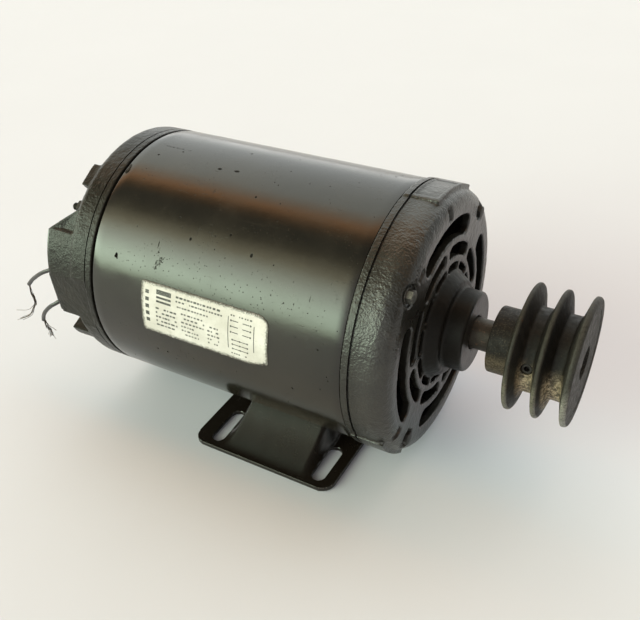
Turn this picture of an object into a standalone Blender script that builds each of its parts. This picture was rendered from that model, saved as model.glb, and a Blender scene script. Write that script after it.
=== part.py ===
"""Open drip-proof three-phase motor, 56 frame, with a formed foot base and a two-groove belt pulley.

Frame: origin on the floor under the middle of the motor's length, +X along the shaft towards
the pulley, +Z up. The shaft axis is parallel to X at the height SHAFT_H.
Lengths below are millimetres and become metres through MM. Axial positions are written from the
datum plane of the drive end shield (its seam groove) and angles run from +Y towards +Z.
"""
import bpy
import bmesh
import math
from mathutils import Matrix, Vector

for old in list(bpy.data.objects):
    bpy.data.objects.remove(old, do_unlink=True)

# ---------------------------------------------------------------- driving dimensions (mm)
MM = 0.001
X0 = 58.0            # drive-end datum plane, from the origin
SHAFT_H = 88.9       # shaft height of a 56 frame (3.5 in)
GAP = 0.3            # clearance kept between touching pieces

SHELL_R = 82.55      # rolled shell, 165.1 mm outside
SHELL_T = 2.0
SHELL_X0 = -180.2    # rear seam
SHELL_X1 = -5.0      # front seam

SHIELD_R = 82.0      # cast end shields
FACE_X = 22.5        # outer face of the drive end shield
WEB_T = 5.0          # thickness of its face
BOSS_X = 42.0        # end of the bearing boss
BOSS_R = 24.8

REAR_RIM_X = -203.5  # rear rim of the rear end shield
BOX_X = -217.9       # mouth of the terminal box at its mid height
BOX_TILT = 0.079     # the mouth leans back towards its top
BOX_MID_Z = 13.0
BOX_TOP_Z = 43.2
BOX_LOW_Z = -14.2
BOX_IN_Y = -34.0     # inner side wall of the box

BOLT_PCR = 72.0      # through bolts on a 144 mm circle
BOLT_R = 2.4
BOLT_ANGLES = (45.0, 135.0, 225.0, 315.0)

SHAFT_R = 9.525      # 3/4 in shaft extension
SHAFT_MID_R = 13.6
FRONT_JOURNAL_R = 10.0
REAR_JOURNAL_R = 8.5
SHAFT_END_X = 90.4
SHAFT_REAR_X = -199.6

STATOR_X0, STATOR_X1 = -134.5, -59.5
STATOR_R = SHELL_R - SHELL_T - GAP
STATOR_BORE = 45.3
ROTOR_R = 44.7
SLOTS = 24
BARS = 12

PULLEY_X0 = 54.9     # back of the hub
PULLEY_X1 = 106.5    # outer face
HUB_R = 20.0
FLANGE_R = 37.8
GROOVE_R = 25.0
FLANGE_XS = (72.0, 88.1, 104.2)
SET_SCREW_X = 80.05
KEY_ANGLE = 171.0    # key and set screw, turned with the shaft
KEY_W = 4.76         # 3/16 in key

BASE_X = -66.9       # middle of the base plate
BASE_LX = 103.5
BASE_LY = 165.0
BASE_T = 3.0
SLOT_X = -65.4       # middle of the slot pattern
SLOT_DX = 38.1       # 76.2 mm between slots along the shaft
SLOT_DY = 61.9       # 123.8 mm across
SLOT_W = 8.7
SLOT_L = 30.6

LABEL_X = (-141.0, -50.5)
LABEL_ANG = (158.0, 180.5)

LEAD_R = 1.4
LEAD_Y = -74.9
LEAD_Z = (13.3, -8.6)

SEG = 40             # facets of the large turned pieces


# ---------------------------------------------------------------- materials
def material(name, colour, rough, metal):
    mat = bpy.data.materials.new(name)
    mat.use_nodes = True
    bsdf = mat.node_tree.nodes["Principled BSDF"]
    bsdf.inputs["Base Color"].default_value = (*colour, 1.0)
    bsdf.inputs["Roughness"].default_value = rough
    bsdf.inputs["Metallic"].default_value = metal
    mat.diffuse_color = (*colour, 1.0)
    return mat


PAINT = material("shell_paint", (0.045, 0.052, 0.045), 0.35, 0.0)
CAST = material("cast_paint", (0.030, 0.032, 0.030), 0.55, 0.0)
BASE_PAINT = material("base_paint", (0.010, 0.010, 0.011), 0.22, 0.0)
STEEL = material("ground_steel", (0.45, 0.44, 0.42), 0.32, 1.0)
PLATED = material("plated_steel", (0.55, 0.54, 0.50), 0.40, 1.0)
DARK_STEEL = material("dark_steel", (0.08, 0.075, 0.07), 0.5, 1.0)
LAMINATION = material("laminations", (0.16, 0.15, 0.15), 0.5, 0.9)
COPPER = material("varnished_copper", (0.32, 0.12, 0.045), 0.35, 0.6)
ALUMINIUM = material("cast_aluminium", (0.60, 0.60, 0.60), 0.5, 0.9)
IRON = material("rusted_iron", (0.16, 0.13, 0.09), 0.8, 0.4)
LABEL = material("label", (0.80, 0.79, 0.72), 0.45, 0.0)
PHENOLIC = material("phenolic", (0.05, 0.02, 0.01), 0.6, 0.0)
RUBBER = material("rubber", (0.015, 0.015, 0.015), 0.8, 0.0)
PLASTIC = material("baffle_plastic", (0.03, 0.03, 0.035), 0.6, 0.0)
BRASS = material("brass", (0.60, 0.42, 0.16), 0.35, 1.0)
STRAND = material("bare_strands", (0.60, 0.42, 0.30), 0.4, 1.0)


# ---------------------------------------------------------------- building blocks
def make(name, bm, mat, parent=None, sharp=35.0, at=(X0, 0.0, SHAFT_H)):
    """One object from a bmesh in millimetres, with its origin on the shaft axis unless told otherwise."""
    bmesh.ops.remove_doubles(bm, verts=bm.verts, dist=0.0005)
    bmesh.ops.recalc_face_normals(bm, faces=bm.faces)
    bmesh.ops.scale(bm, vec=(MM, MM, MM), verts=bm.verts)
    mesh = bpy.data.meshes.new(name)
    bm.to_mesh(mesh)
    bm.free()
    mesh.materials.append(mat)
    mesh.shade_smooth()
    mesh.set_sharp_from_angle(angle=math.radians(sharp))
    obj = bpy.data.objects.new(name, mesh)
    obj.location = [v * MM for v in at]
    bpy.context.scene.collection.objects.link(obj)
    if parent is not None:
        obj.parent = parent
        obj.location = (0.0, 0.0, 0.0)
    return obj


def lathe(profile, seg=SEG, bm=None, centre=(0.0, 0.0), turn=0.0):
    """A closed (x, r) outline turned about the X axis through centre (y, z)."""
    bm = bm or bmesh.new()
    rings = []
    for x, r in profile:
        if r < 1e-6:
            rings.append([bm.verts.new((x, centre[0], centre[1]))] * seg)
            continue
        rings.append([
            bm.verts.new((x, centre[0] + r * math.cos(a), centre[1] + r * math.sin(a)))
            for a in (math.radians(turn) + 2 * math.pi * k / seg for k in range(seg))
        ])
    n = len(profile)
    for i in range(n):
        a, b = rings[i], rings[(i + 1) % n]
        if a[0] is a[1] and b[0] is b[1]:
            continue
        for k in range(seg):
            m = (k + 1) % seg
            face = []
            for v in (a[k], a[m], b[m], b[k]):
                if v not in face:
                    face.append(v)
            if len(face) > 2:
                bm.faces.new(face)
    return bm


def prism(outline, x0, x1, bm=None, lean=0.0):
    """A (y, z) outline run from x0 to x1. With lean, both ends lean back with height."""
    bm = bm or bmesh.new()
    ends = []
    for x in (x0, x1):
        ends.append([bm.verts.new((x - lean * (z - BOX_MID_Z), y, z)) for y, z in outline])
    bm.faces.new(ends[0])
    bm.faces.new(list(reversed(ends[1])))
    n = len(outline)
    for i in range(n):
        j = (i + 1) % n
        bm.faces.new((ends[0][i], ends[0][j], ends[1][j], ends[1][i]))
    return bm


def polar(r, deg):
    a = math.radians(deg)
    return (r * math.cos(a), r * math.sin(a))


def arc_slot(r0, r1, a0, a1, corner, steps=2, cut=14):
    """A rounded slot that follows a circle: r0 to r1, a0 to a1 degrees."""
    rm = (r0 + r1) / 2
    half_a, half_r = math.radians(a1 - a0) / 2 * rm, (r1 - r0) / 2
    corner = min(corner, half_r * 0.999, half_a * 0.999)
    am = (a0 + a1) / 2
    points = []
    for cs, cr, start in ((1, 1, 0), (-1, 1, 90), (-1, -1, 180), (1, -1, 270)):
        cx, cy = cs * (half_a - corner), cr * (half_r - corner)
        for k in range(steps + 1):
            t = math.radians(start + 90.0 * k / steps)
            points.append((cx + corner * math.cos(t), cy + corner * math.sin(t)))
    full = []
    for i, (s, r) in enumerate(points):
        s2, r2 = points[(i + 1) % len(points)]
        full.append((s, r))
        if abs(s2 - s) > 2 * math.radians(cut) * rm and abs(r2 - r) < 1e-6:
            parts = int(abs(s2 - s) / (math.radians(cut) * rm))
            for k in range(1, parts):
                full.append((s + (s2 - s) * k / parts, r))
    return [polar(rm + r, am + math.degrees(s / rm)) for s, r in full]


def ring_of(count, outline_at, x0, x1, bm=None):
    bm = bm or bmesh.new()
    for k in range(count):
        prism(outline_at(k), x0, x1, bm)
    return bm


def stadium(cy, cz, width, length, steps=5, along="z"):
    r, half = width / 2, (length - width) / 2
    points = []
    for k in range(steps + 1):
        a = math.pi * k / steps
        points.append((r * math.cos(a), half + r * math.sin(a)))
    for k in range(steps + 1):
        a = math.pi + math.pi * k / steps
        points.append((r * math.cos(a), -half + r * math.sin(a)))
    if along == "y":
        points = [(v, -u) for u, v in points]
    return [(cy + u, cz + v) for u, v in points]


def rounded(cx, cy, lx, ly, r, steps=3):
    points = []
    for sx, sy, start in ((1, 1, 0), (-1, 1, 90), (-1, -1, 180), (1, -1, 270)):
        for k in range(steps + 1):
            a = math.radians(start + 90.0 * k / steps)
            points.append((cx + sx * (lx / 2 - r) + r * math.cos(a), cy + sy * (ly / 2 - r) + r * math.sin(a)))
    return points


def flat_prism(outline, z0, z1, bm=None):
    """An (x, y) outline run from z0 to z1."""
    bm = bm or bmesh.new()
    low = [bm.verts.new((x, y, z0)) for x, y in outline]
    top = [bm.verts.new((x, y, z1)) for x, y in outline]
    bm.faces.new(list(reversed(low)))
    bm.faces.new(top)
    n = len(outline)
    for i in range(n):
        j = (i + 1) % n
        bm.faces.new((low[i], low[j], top[j], top[i]))
    return bm


def polygon(radius, sides, centre=(0.0, 0.0), turn=0.0):
    return [(centre[0] + radius * math.cos(math.radians(turn) + 2 * math.pi * k / sides),
             centre[1] + radius * math.sin(math.radians(turn) + 2 * math.pi * k / sides)) for k in range(sides)]


def helper(name, bm, at=(X0, 0.0, SHAFT_H)):
    obj = make(name, bm, DARK_STEEL, at=at)
    obj.hide_render = True
    obj.display_type = "WIRE"
    return obj


def boolean(obj, other, operation="DIFFERENCE"):
    mod = obj.modifiers.new(other.name, "BOOLEAN")
    mod.operation = operation
    mod.object = other
    return mod


def hexagon_bolt(x_head, x_tip, head_af, head_h, r, centre, tip=-1.0):
    """A hexagon head at x_head, its shank running to x_tip, turned solid of one outline."""
    bm = bmesh.new()
    s = 1.0 if tip > 0 else -1.0
    hex_r = head_af / math.sqrt(3.0)
    hexa = polygon(hex_r, 6, centre, 30.0)
    rod = polygon(r, 12, centre, 15.0)
    a = [bm.verts.new((x_head, y, z)) for y, z in hexa]
    b = [bm.verts.new((x_head + s * head_h, y, z)) for y, z in hexa]
    c = [bm.verts.new((x_head + s * head_h, y, z)) for y, z in rod]
    d = [bm.verts.new((x_tip - s * 0.6, y, z)) for y, z in rod]
    e = [bm.verts.new((x_tip, centre[0] + (y - centre[0]) * 0.75, centre[1] + (z - centre[1]) * 0.75)) for y, z in rod]
    bm.faces.new(a)
    for i in range(6):
        bm.faces.new((a[i], a[(i + 1) % 6], b[(i + 1) % 6], b[i]))
    for i in range(6):
        j = (i + 1) % 6
        bm.faces.new((b[i], b[j], c[(2 * i + 2) % 12], c[(2 * i + 1) % 12]))
        bm.faces.new((b[i], c[(2 * i + 1) % 12], c[2 * i]))
    for i in range(12):
        j = (i + 1) % 12
        bm.faces.new((c[i], c[j], d[j], d[i]))
        bm.faces.new((d[i], d[j], e[j], e[i]))
    bm.faces.new(list(reversed(e)))
    return bm


# ---------------------------------------------------------------- joint axes
shaft_axis = bpy.data.objects.new("shaft_axis", None)
shaft_axis.location = (X0 * MM, 0.0, SHAFT_H * MM)
bpy.context.scene.collection.objects.link(shaft_axis)
front_cage_axis = bpy.data.objects.new("front_cage_axis", None)
front_cage_axis.location = (X0 * MM, 0.0, SHAFT_H * MM)
bpy.context.scene.collection.objects.link(front_cage_axis)
rear_cage_axis = bpy.data.objects.new("rear_cage_axis", None)
rear_cage_axis.location = (X0 * MM, 0.0, SHAFT_H * MM)
bpy.context.scene.collection.objects.link(rear_cage_axis)

# ---------------------------------------------------------------- rolled shell
make("frame_shell", lathe([
    (SHELL_X0, SHELL_R - SHELL_T), (SHELL_X0, SHELL_R), (SHELL_X1, SHELL_R), (SHELL_X1, SHELL_R - SHELL_T)]), PAINT)

# ---------------------------------------------------------------- drive end shield
# Bell, face, bearing boss and bearing seat are one turned outline.
SEAT_X0, SEAT_X1 = 9.0, 24.4
front = make("front_end_shield", lathe([
    (-11.0, 76.5), (-11.0, 80.2), (-4.7, 80.2), (-4.7, SHIELD_R), (14.0, SHIELD_R), (20.2, 79.2), (FACE_X, 74.5),
    (FACE_X, 33.5), (30.0, 28.6), (30.3, BOSS_R), (40.8, BOSS_R - 0.3), (BOSS_X, BOSS_R - 1.4),
    (BOSS_X, 10.4), (SEAT_X1, 10.4), (SEAT_X1, 23.8), (SEAT_X0, 23.8), (SEAT_X0, 30.0),
    (FACE_X - WEB_T, 33.0), (FACE_X - WEB_T, 68.0), (8.0, 76.5)]), CAST)

vents = bmesh.new()
XV0, XV1 = 5.0, 26.0
for k in range(4):
    a = 90.0 * k
    prism(arc_slot(54.8, 67.0, a - 31.0, a + 31.0, 5.8), XV0, XV1, vents)
for k in range(8):
    a = 45.0 * k + 22.5
    prism(arc_slot(42.6, 50.6, a - 19.5, a + 19.5, 3.6), XV0, XV1, vents)
helper("front_vent_cutter", vents)
boolean(front, bpy.data.objects["front_vent_cutter"])

inner_vents = bmesh.new()
for k in range(12):
    a = 30.0 * k + 15.0
    prism(arc_slot(33.9, 38.6, a - 12.6, a + 12.6, 2.2, 1), 16.0, 26.0, inner_vents)
helper("front_inner_vent_cutter", inner_vents)
boolean(front, bpy.data.objects["front_inner_vent_cutter"])

pockets = bmesh.new()
for a in BOLT_ANGLES:
    y, z = polar(BOLT_PCR + 1.2, a)
    prism(polygon(6.4, 14, (y, z), a), 19.4, 26.0, pockets)
helper("front_pocket_cutter", pockets)
boolean(front, bpy.data.objects["front_pocket_cutter"])
holes = bmesh.new()
for a in BOLT_ANGLES:
    prism(polygon(BOLT_R + 0.5, 12, polar(BOLT_PCR, a), a), 8.0, 26.0, holes)
helper("front_bolt_hole_cutter", holes)
boolean(front, bpy.data.objects["front_bolt_hole_cutter"])

# Raised casting pads on the bell's outside, over the top and at the lower left.
pads = bmesh.new()
for a0, a1 in ((58.0, 93.5), (208.5, 236.0)):
    steps = max(4, int((a1 - a0) / 5.625))
    outline = [polar(83.6, a0 + (a1 - a0) * k / steps) for k in range(steps + 1)]
    outline += [polar(79.0, a1 - (a1 - a0) * k / steps) for k in range(steps + 1)]
    prism(outline, -4.2, 17.6, pads)
helper("front_pad_form", pads)
boolean(front, bpy.data.objects["front_pad_form"], "UNION")

# ---------------------------------------------------------------- rear end shield with cast terminal box
rear = make("rear_end_shield", lathe([
    (-174.0, 76.5), (-174.0, 80.2), (-181.9, 80.2), (-181.9, SHIELD_R), (-198.5, SHIELD_R), (-202.4, 80.2), (REAR_RIM_X, 77.0),
    (REAR_RIM_X, 30.5), (-206.5, 28.0), (-206.5, 0.0), (-202.5, 0.0), (-202.5, 20.3), (-187.6, 20.3), (-187.6, 26.5),
    (-198.5, 30.5), (-198.5, 69.0), (-194.0, 76.5)]), CAST)

# Outer wall of the box follows the bell; its top slopes up to the rim.
R_BOX = SHIELD_R - 0.1
arc_a0 = 180.0 - math.degrees(math.asin(BOX_TOP_Z / R_BOX))
arc_a1 = 180.0 + math.degrees(math.asin(-BOX_LOW_Z / R_BOX))
outer_arc = [polar(R_BOX, arc_a0 + (arc_a1 - arc_a0) * k / 10) for k in range(11)]
box_outline = outer_arc + [(BOX_IN_Y, BOX_LOW_Z), (BOX_IN_Y, BOX_TOP_Z)]
box = bmesh.new()
prism(box_outline, BOX_X, -196.0, box, BOX_TILT)
for v in box.verts:
    if v.co.x > -205.0:
        v.co.x = -196.0
helper("terminal_box_form", box)
boolean(rear, bpy.data.objects["terminal_box_form"], "UNION")

# Sloping roof between the top of the box and the rim.
roof = bmesh.new()
ya, yb = -70.9, BOX_IN_Y
roof_pts = [(-219.9, 42.6), (-201.8, 55.0), (-197.0, 55.0), (-197.0, 38.6), (-215.0, 38.6)]
side_a = [roof.verts.new((x, -math.sqrt(R_BOX ** 2 - z ** 2) if k < 3 else ya + 1.0, z)) for k, (x, z) in enumerate(roof_pts)]
side_b = [roof.verts.new((x, yb + 0.2, z)) for x, z in roof_pts]
roof.faces.new(side_a)
roof.faces.new(list(reversed(side_b)))
for i in range(5):
    j = (i + 1) % 5
    roof.faces.new((side_a[i], side_a[j], side_b[j], side_b[i]))
helper("box_roof_form", roof)
boolean(rear, bpy.data.objects["box_roof_form"], "UNION")

# Cast lugs on the rim.
lugs = bmesh.new()
for a0, a1, x_end in ((114.0, 125.5, -207.2), (202.5, 207.5, -217.4), (50.0, 62.0, -207.2), (-62.0, -50.0, -207.2)):
    outline = [polar(81.2, a0 + (a1 - a0) * k / 3) for k in range(4)] + [polar(70.5, a1 - (a1 - a0) * k / 3) for k in range(4)]
    prism(outline, x_end, -199.0, lugs)
helper("rear_lug_form", lugs)
boolean(rear, bpy.data.objects["rear_lug_form"], "UNION")

cavity_arc = [polar(R_BOX - 3.2, arc_a0 + 2.0 + (arc_a1 - arc_a0 - 3.8) * k / 8) for k in range(9)]
cavity = prism(cavity_arc + [(BOX_IN_Y - 3.0, BOX_LOW_Z + 2.7), (BOX_IN_Y - 3.0, BOX_TOP_Z - 2.9)], BOX_X - 4.0, -205.0, None, BOX_TILT)
for v in cavity.verts:
    if v.co.x > -210.0:
        v.co.x = -203.0
helper("box_cavity_cutter", cavity)
boolean(rear, bpy.data.objects["box_cavity_cutter"])
helper("box_wireway_cutter", prism(polygon(7.0, 16, (-52.0, 10.0)), -206.0, -190.0))
boolean(rear, bpy.data.objects["box_wireway_cutter"])

rear_cut = bmesh.new()
for a0, a1 in ((-76.0, -14.0), (59.0, 121.0 - 9.0), (-9.0, 53.0)):
    prism(arc_slot(52.0, 66.0, a0 + 4, a1 - 4, 5.8), -212.0, -192.0, rear_cut)
prism(arc_slot(52.0, 66.0, 218.0, 274.0, 5.8), -212.0, -192.0, rear_cut)
for k in range(8):
    a = 45.0 * k + 22.5
    if abs(((a - 180.0 + 180.0) % 360.0) - 180.0) < 200.0 and not (130.0 < a < 230.0):
        prism(arc_slot(36.5, 46.5, a - 18.0, a + 18.0, 3.6), -212.0, -192.0, rear_cut)
helper("rear_vent_cutter", rear_cut)
boolean(rear, bpy.data.objects["rear_vent_cutter"])
nut_seats = bmesh.new()
for a in BOLT_ANGLES:
    lathe([(-225.0, 0.0), (-225.0, 7.0), (-203.2, 7.0), (-203.2, BOLT_R + 0.5), (-190.0, BOLT_R + 0.5), (-190.0, 0.0)], 12, nut_seats, polar(BOLT_PCR, a), a)
helper("nut_seat_cutter", nut_seats)
boolean(rear, bpy.data.objects["nut_seat_cutter"])

screw_holes = bmesh.new()
COVER_SCREWS = ((-62.0, 36.2), (-40.5, -8.2))
for y, z in COVER_SCREWS:
    lathe([(-230.0, 0.0), (-230.0, 1.9), (-207.0, 1.9), (-207.0, 0.0)], 10, screw_holes, (y, z))

# ---------------------------------------------------------------- terminal cover, screws, grommet
cover_arc = [polar(R_BOX - 0.8, arc_a0 + 0.8 + (arc_a1 - arc_a0 - 1.4) * k / 10) for k in range(11)]
cover_outline = cover_arc + [(BOX_IN_Y - 0.6, BOX_LOW_Z + 0.6), (BOX_IN_Y - 0.6, BOX_TOP_Z - 0.7)]
cover = make("terminal_cover", prism(cover_outline, BOX_X - GAP - 1.2, BOX_X - GAP, None, BOX_TILT), PAINT)
MID_Z = (LEAD_Z[0] + LEAD_Z[1]) / 2
slot_cut = prism(stadium(LEAD_Y, MID_Z, 6.4, 27.0), BOX_X - 6.0, BOX_X + 4.0, None, BOX_TILT)
helper("lead_slot_cutter", slot_cut)
boolean(cover, bpy.data.objects["lead_slot_cutter"])

corner_posts = bmesh.new()
for y, z in COVER_SCREWS:
    lean = -BOX_TILT * (z - BOX_MID_Z)
    post = lathe([(BOX_X + lean + 0.05, 0.0), (BOX_X + lean + 0.05, 4.6), (-202.0, 4.6), (-202.0, 0.0)], 14, None, (y, z))
    mesh = bpy.data.meshes.new("post")
    post.to_mesh(mesh)
    post.free()
    corner_posts.from_mesh(mesh)
helper("cover_post_form", corner_posts)
boolean(rear, bpy.data.objects["cover_post_form"], "UNION")
helper("cover_screw_hole_cutter", screw_holes)
boolean(rear, bpy.data.objects["cover_screw_hole_cutter"])
boolean(cover, bpy.data.objects["cover_screw_hole_cutter"])
for i, (y, z) in enumerate(COVER_SCREWS):
    lean = -BOX_TILT * (z - BOX_MID_Z)
    x = BOX_X + lean - GAP - 1.2 - GAP - 0.3
    make("terminal_cover_screw_%d" % (i + 1), lathe([
        (x - 1.9, 0.0), (x - 1.9, 2.2), (x - 1.2, 3.4), (x, 3.6), (x, 1.5), (x + 8.0, 1.5), (x + 8.6, 0.9), (x + 8.6, 0.0)],
        10, None, (y, z)), PLATED)


def oblong_ring(cy, cz, width, length, profile, lean=0.0):
    """An (offset, x) outline carried round an oblong, as a grommet's section round its slot."""
    bm = bmesh.new()
    rings = []
    for off, x in profile:
        pts = stadium(cy, cz, width + 2 * off, length + 2 * off, 4)
        rings.append([bm.verts.new((x - lean * (z - BOX_MID_Z), y, z)) for y, z in pts])
    n = len(profile)
    for i in range(n - 1):
        a, b = rings[i], rings[i + 1]
        for k in range(len(a)):
            m = (k + 1) % len(a)
            bm.faces.new((a[k], a[m], b[m], b[k]))
    bm.faces.new(rings[0])
    bm.faces.new(list(reversed(rings[-1])))
    return bm


xg = BOX_X - GAP - 1.2
grommet = make("lead_grommet", oblong_ring(LEAD_Y, MID_Z, 5.4, 26.0, [
    (0.0, xg - 2.0), (1.4, xg - 1.6), (1.6, xg - 0.35), (0.0, xg - 0.35), (0.0, BOX_X + 0.2), (-0.4, BOX_X + 2.4)], BOX_TILT), RUBBER)
lead_holes = bmesh.new()
for z in LEAD_Z:
    lathe([(-230.0, 0.0), (-230.0, LEAD_R + 0.35), (-211.0, LEAD_R + 0.35), (-211.0, 0.0)], 12, lead_holes, (LEAD_Y, z))
helper("lead_hole_cutter", lead_holes)
boolean(grommet, bpy.data.objects["lead_hole_cutter"])

# ---------------------------------------------------------------- terminal board and studs inside the box
board = make("terminal_board", prism(rounded(-55.0, 14.0, 22.0, 30.0, 2.0, 1), -209.2, -206.0), PHENOLIC)
stud_holes = bmesh.new()
STUDS = [(-55.0, 14.0 + dz) for dz in (-9.5, 0.0, 9.5)]
for c in STUDS:
    prism(polygon(2.5, 8, c), -212.0, -204.0, stud_holes)
helper("stud_hole_cutter", stud_holes)
boolean(board, bpy.data.objects["stud_hole_cutter"])
for i, c in enumerate(STUDS):
    make("terminal_stud_%d" % (i + 1), lathe([(-215.0, 0.0), (-215.0, 1.5), (-214.4, 2.0), (-212.6, 2.0), (-212.6, 3.8), (-209.6, 3.8), (-209.6, 2.0), (-205.9, 2.0), (-205.9, 3.4), (-204.4, 3.4), (-204.4, 0.0)], 8, None, c), BRASS)

# ---------------------------------------------------------------- stator
slot_cut = bmesh.new()


def slot_outline(deg, r0, r1, w0, w1):
    a = math.radians(deg)
    er, et = (math.cos(a), math.sin(a)), (-math.sin(a), math.cos(a))
    return [(er[0] * r + et[0] * w, er[1] * r + et[1] * w) for r, w in ((r0, -w0 / 2), (r1, -w1 / 2), (r1, w1 / 2), (r0, w0 / 2))]


for k in range(SLOTS):
    prism(slot_outline(360.0 * k / SLOTS + 7.5, 44.0, 64.0, 5.4, 8.6), STATOR_X0 - 2, STATOR_X1 + 2, slot_cut)
for a in BOLT_ANGLES:
    prism(slot_outline(a, 68.4, 84.0, 7.2, 8.4), STATOR_X0 - 2, STATOR_X1 + 2, slot_cut)
stator = make("stator_core", lathe([(STATOR_X0, STATOR_BORE), (STATOR_X0, STATOR_R), (STATOR_X1, STATOR_R), (STATOR_X1, STATOR_BORE)]), LAMINATION)
helper("stator_slot_cutter", slot_cut)
boolean(stator, bpy.data.objects["stator_slot_cutter"])


def coil_end(x_near, x_far):
    s = 1.0 if x_far > x_near else -1.0
    w = abs(x_far - x_near)
    return [(x_near, 50.5), (x_near, 63.0), (x_near + s * 0.35 * w, 67.2), (x_far - s * 4.0, 67.2), (x_far, 62.5), (x_far, 54.5), (x_far - s * 5.0, 50.8)]


winding = make("stator_winding", lathe(coil_end(STATOR_X1 + 2.0, -30.0), 24), COPPER)
rear_end = lathe(coil_end(STATOR_X0 - 2.0, -164.0), 24)
helper("rear_coil_form", rear_end)
boolean(winding, bpy.data.objects["rear_coil_form"], "UNION")
bars = bmesh.new()
for k in range(SLOTS):
    prism(slot_outline(360.0 * k / SLOTS + 7.5, 51.5, 62.5, 5.0, 7.0), STATOR_X0 - 6.0, STATOR_X1 + 6.0, bars)
helper("slot_winding_form", bars)
boolean(winding, bpy.data.objects["slot_winding_form"], "UNION")

# ---------------------------------------------------------------- air baffles inside the through bolts
for name, x0, s, r_in in (("front_air_baffle", -16.0, 1.0, 50.0), ("rear_air_baffle", -170.5, -1.0, 48.0)):
    make(name, lathe([(x0, 69.0), (x0 - s * 1.5, 69.0), (x0 - s * 1.5, 59.0), (x0 - s * 6.5, r_in), (x0 - s * 5.0, r_in), (x0, 60.0)], 28), PLASTIC)

# ---------------------------------------------------------------- through bolts and nuts
for i, a in enumerate(BOLT_ANGLES):
    c = polar(BOLT_PCR, a)
    make("through_bolt_%d" % (i + 1), hexagon_bolt(24.0, -212.5, 8.0, 4.2, BOLT_R, c), PLATED)
    nut = bmesh.new()
    hexa = polygon(9.5 / math.sqrt(3), 6, c, 20.0)
    hole = polygon(BOLT_R + 0.35, 12, c, 5.0)
    rings = []
    for x in (-207.2, -203.5):
        rings.append(([nut.verts.new((x, y, z)) for y, z in hexa], [nut.verts.new((x, y, z)) for y, z in hole]))
    for (h, o), flip in ((rings[0], False), (rings[1], True)):
        for k in range(6):
            tri = [(h[k], h[(k + 1) % 6], o[(2 * k + 2) % 12], o[(2 * k + 1) % 12]), (h[k], o[(2 * k + 1) % 12], o[2 * k])]
            for f in tri:
                nut.faces.new(list(reversed(f)) if flip else f)
    for k in range(6):
        m = (k + 1) % 6
        nut.faces.new((rings[0][0][k], rings[0][0][m], rings[1][0][m], rings[1][0][k]))
    for k in range(12):
        m = (k + 1) % 12
        nut.faces.new((rings[0][1][m], rings[0][1][k], rings[1][1][k], rings[1][1][m]))
    make("through_bolt_nut_%d" % (i + 1), nut, DARK_STEEL)

# ---------------------------------------------------------------- bearings
BALL_R = 3.97


def race(xc, r_pitch, groove_r, inside, r_wall, r_shoulder, half, steps=3):
    """Outline of a bearing ring: plain wall at r_wall, shoulder and ball groove on the other side."""
    pts = [(xc - half, r_wall), (xc - half, r_shoulder)]
    depth = abs(r_shoulder - r_pitch)
    t = math.asin(depth / groove_r)
    for k in range(steps + 1):
        a = t + (math.pi - 2 * t) * k / steps
        x = xc - groove_r * math.cos(a)
        r = r_pitch + (-1 if inside else 1) * groove_r * math.sin(a)
        pts.append((x, r))
    pts += [(xc + half, r_shoulder), (xc + half, r_wall)]
    return pts


def bearing(prefix, xc, bore, outer, half, balls, parent_cage):
    pitch = (bore + outer) / 2
    ball = BALL_R if outer > 22 else 3.3
    inner_sh, outer_sh = pitch - ball * 0.55, pitch + ball * 0.55
    make(prefix + "_bearing_outer_ring", lathe(race(xc, pitch, ball + 0.3, False, outer, outer_sh, half), 24), STEEL)
    make(prefix + "_bearing_inner_ring", lathe(race(xc, pitch, ball + 0.3, True, bore + GAP, inner_sh, half), 24), STEEL, shaft_axis)
    cage = make(prefix + "_bearing_cage", lathe([
        (xc - 2.6, inner_sh + 0.6), (xc - 2.6, outer_sh - 0.6), (xc + 2.6, outer_sh - 0.6), (xc + 2.6, inner_sh + 0.6)], 14), STEEL, parent_cage)
    spheres = bmesh.new()
    for k in range(balls):
        y, z = polar(pitch, 360.0 * k / balls + 9.0)
        bmesh.ops.create_icosphere(spheres, subdivisions=1, radius=ball, matrix=Matrix.Translation((xc, y, z)))
    helper(prefix + "_ball_form", spheres)
    boolean(cage, bpy.data.objects[prefix + "_ball_form"], "UNION")


bearing("front", 17.0, FRONT_JOURNAL_R, 23.5, 7.0, 7, front_cage_axis)
bearing("rear", -194.5, REAR_JOURNAL_R, 20.0, 6.0, 7, rear_cage_axis)

# Wavy spring washer that loads the rear bearing against its seat.
wave = bmesh.new()
rows = []
N = 20
for k in range(N):
    a = 2 * math.pi * k / N
    x = -201.6 + 0.35 * math.cos(4 * a)
    rows.append([wave.verts.new((x + dx, r * math.cos(a), r * math.sin(a))) for dx, r in ((-0.25, 15.0), (-0.25, 19.6), (0.25, 19.6), (0.25, 15.0))])
for k in range(N):
    a, b = rows[k], rows[(k + 1) % N]
    for i in range(4):
        j = (i + 1) % 4
        wave.faces.new((a[i], a[j], b[j], b[i]))
make("bearing_wave_spring", wave, STEEL)

# Plate that holds the front bearing in its seat, with two screws into the hub.
plate = make("bearing_retainer", lathe([(6.4, 16.5), (6.4, 29.4), (8.6, 29.4), (8.6, 16.5)], 24), PLATED)
RET = [polar(26.8, 0.0), polar(26.8, 180.0)]
ret_holes = bmesh.new()
for c in RET:
    prism(polygon(1.9, 10, c), 2.0, 18.5, ret_holes)
helper("retainer_hole_cutter", ret_holes)
boolean(plate, bpy.data.objects["retainer_hole_cutter"])
boolean(front, bpy.data.objects["retainer_hole_cutter"])
for i, c in enumerate(RET):
    make("bearing_retainer_screw_%d" % (i + 1), lathe([
        (3.4, 0.0), (3.4, 2.2), (4.2, 3.2), (6.1, 3.2), (6.1, 1.5), (17.2, 1.5), (17.6, 1.1), (17.6, 0.0)], 10, None, c), PLATED)

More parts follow.
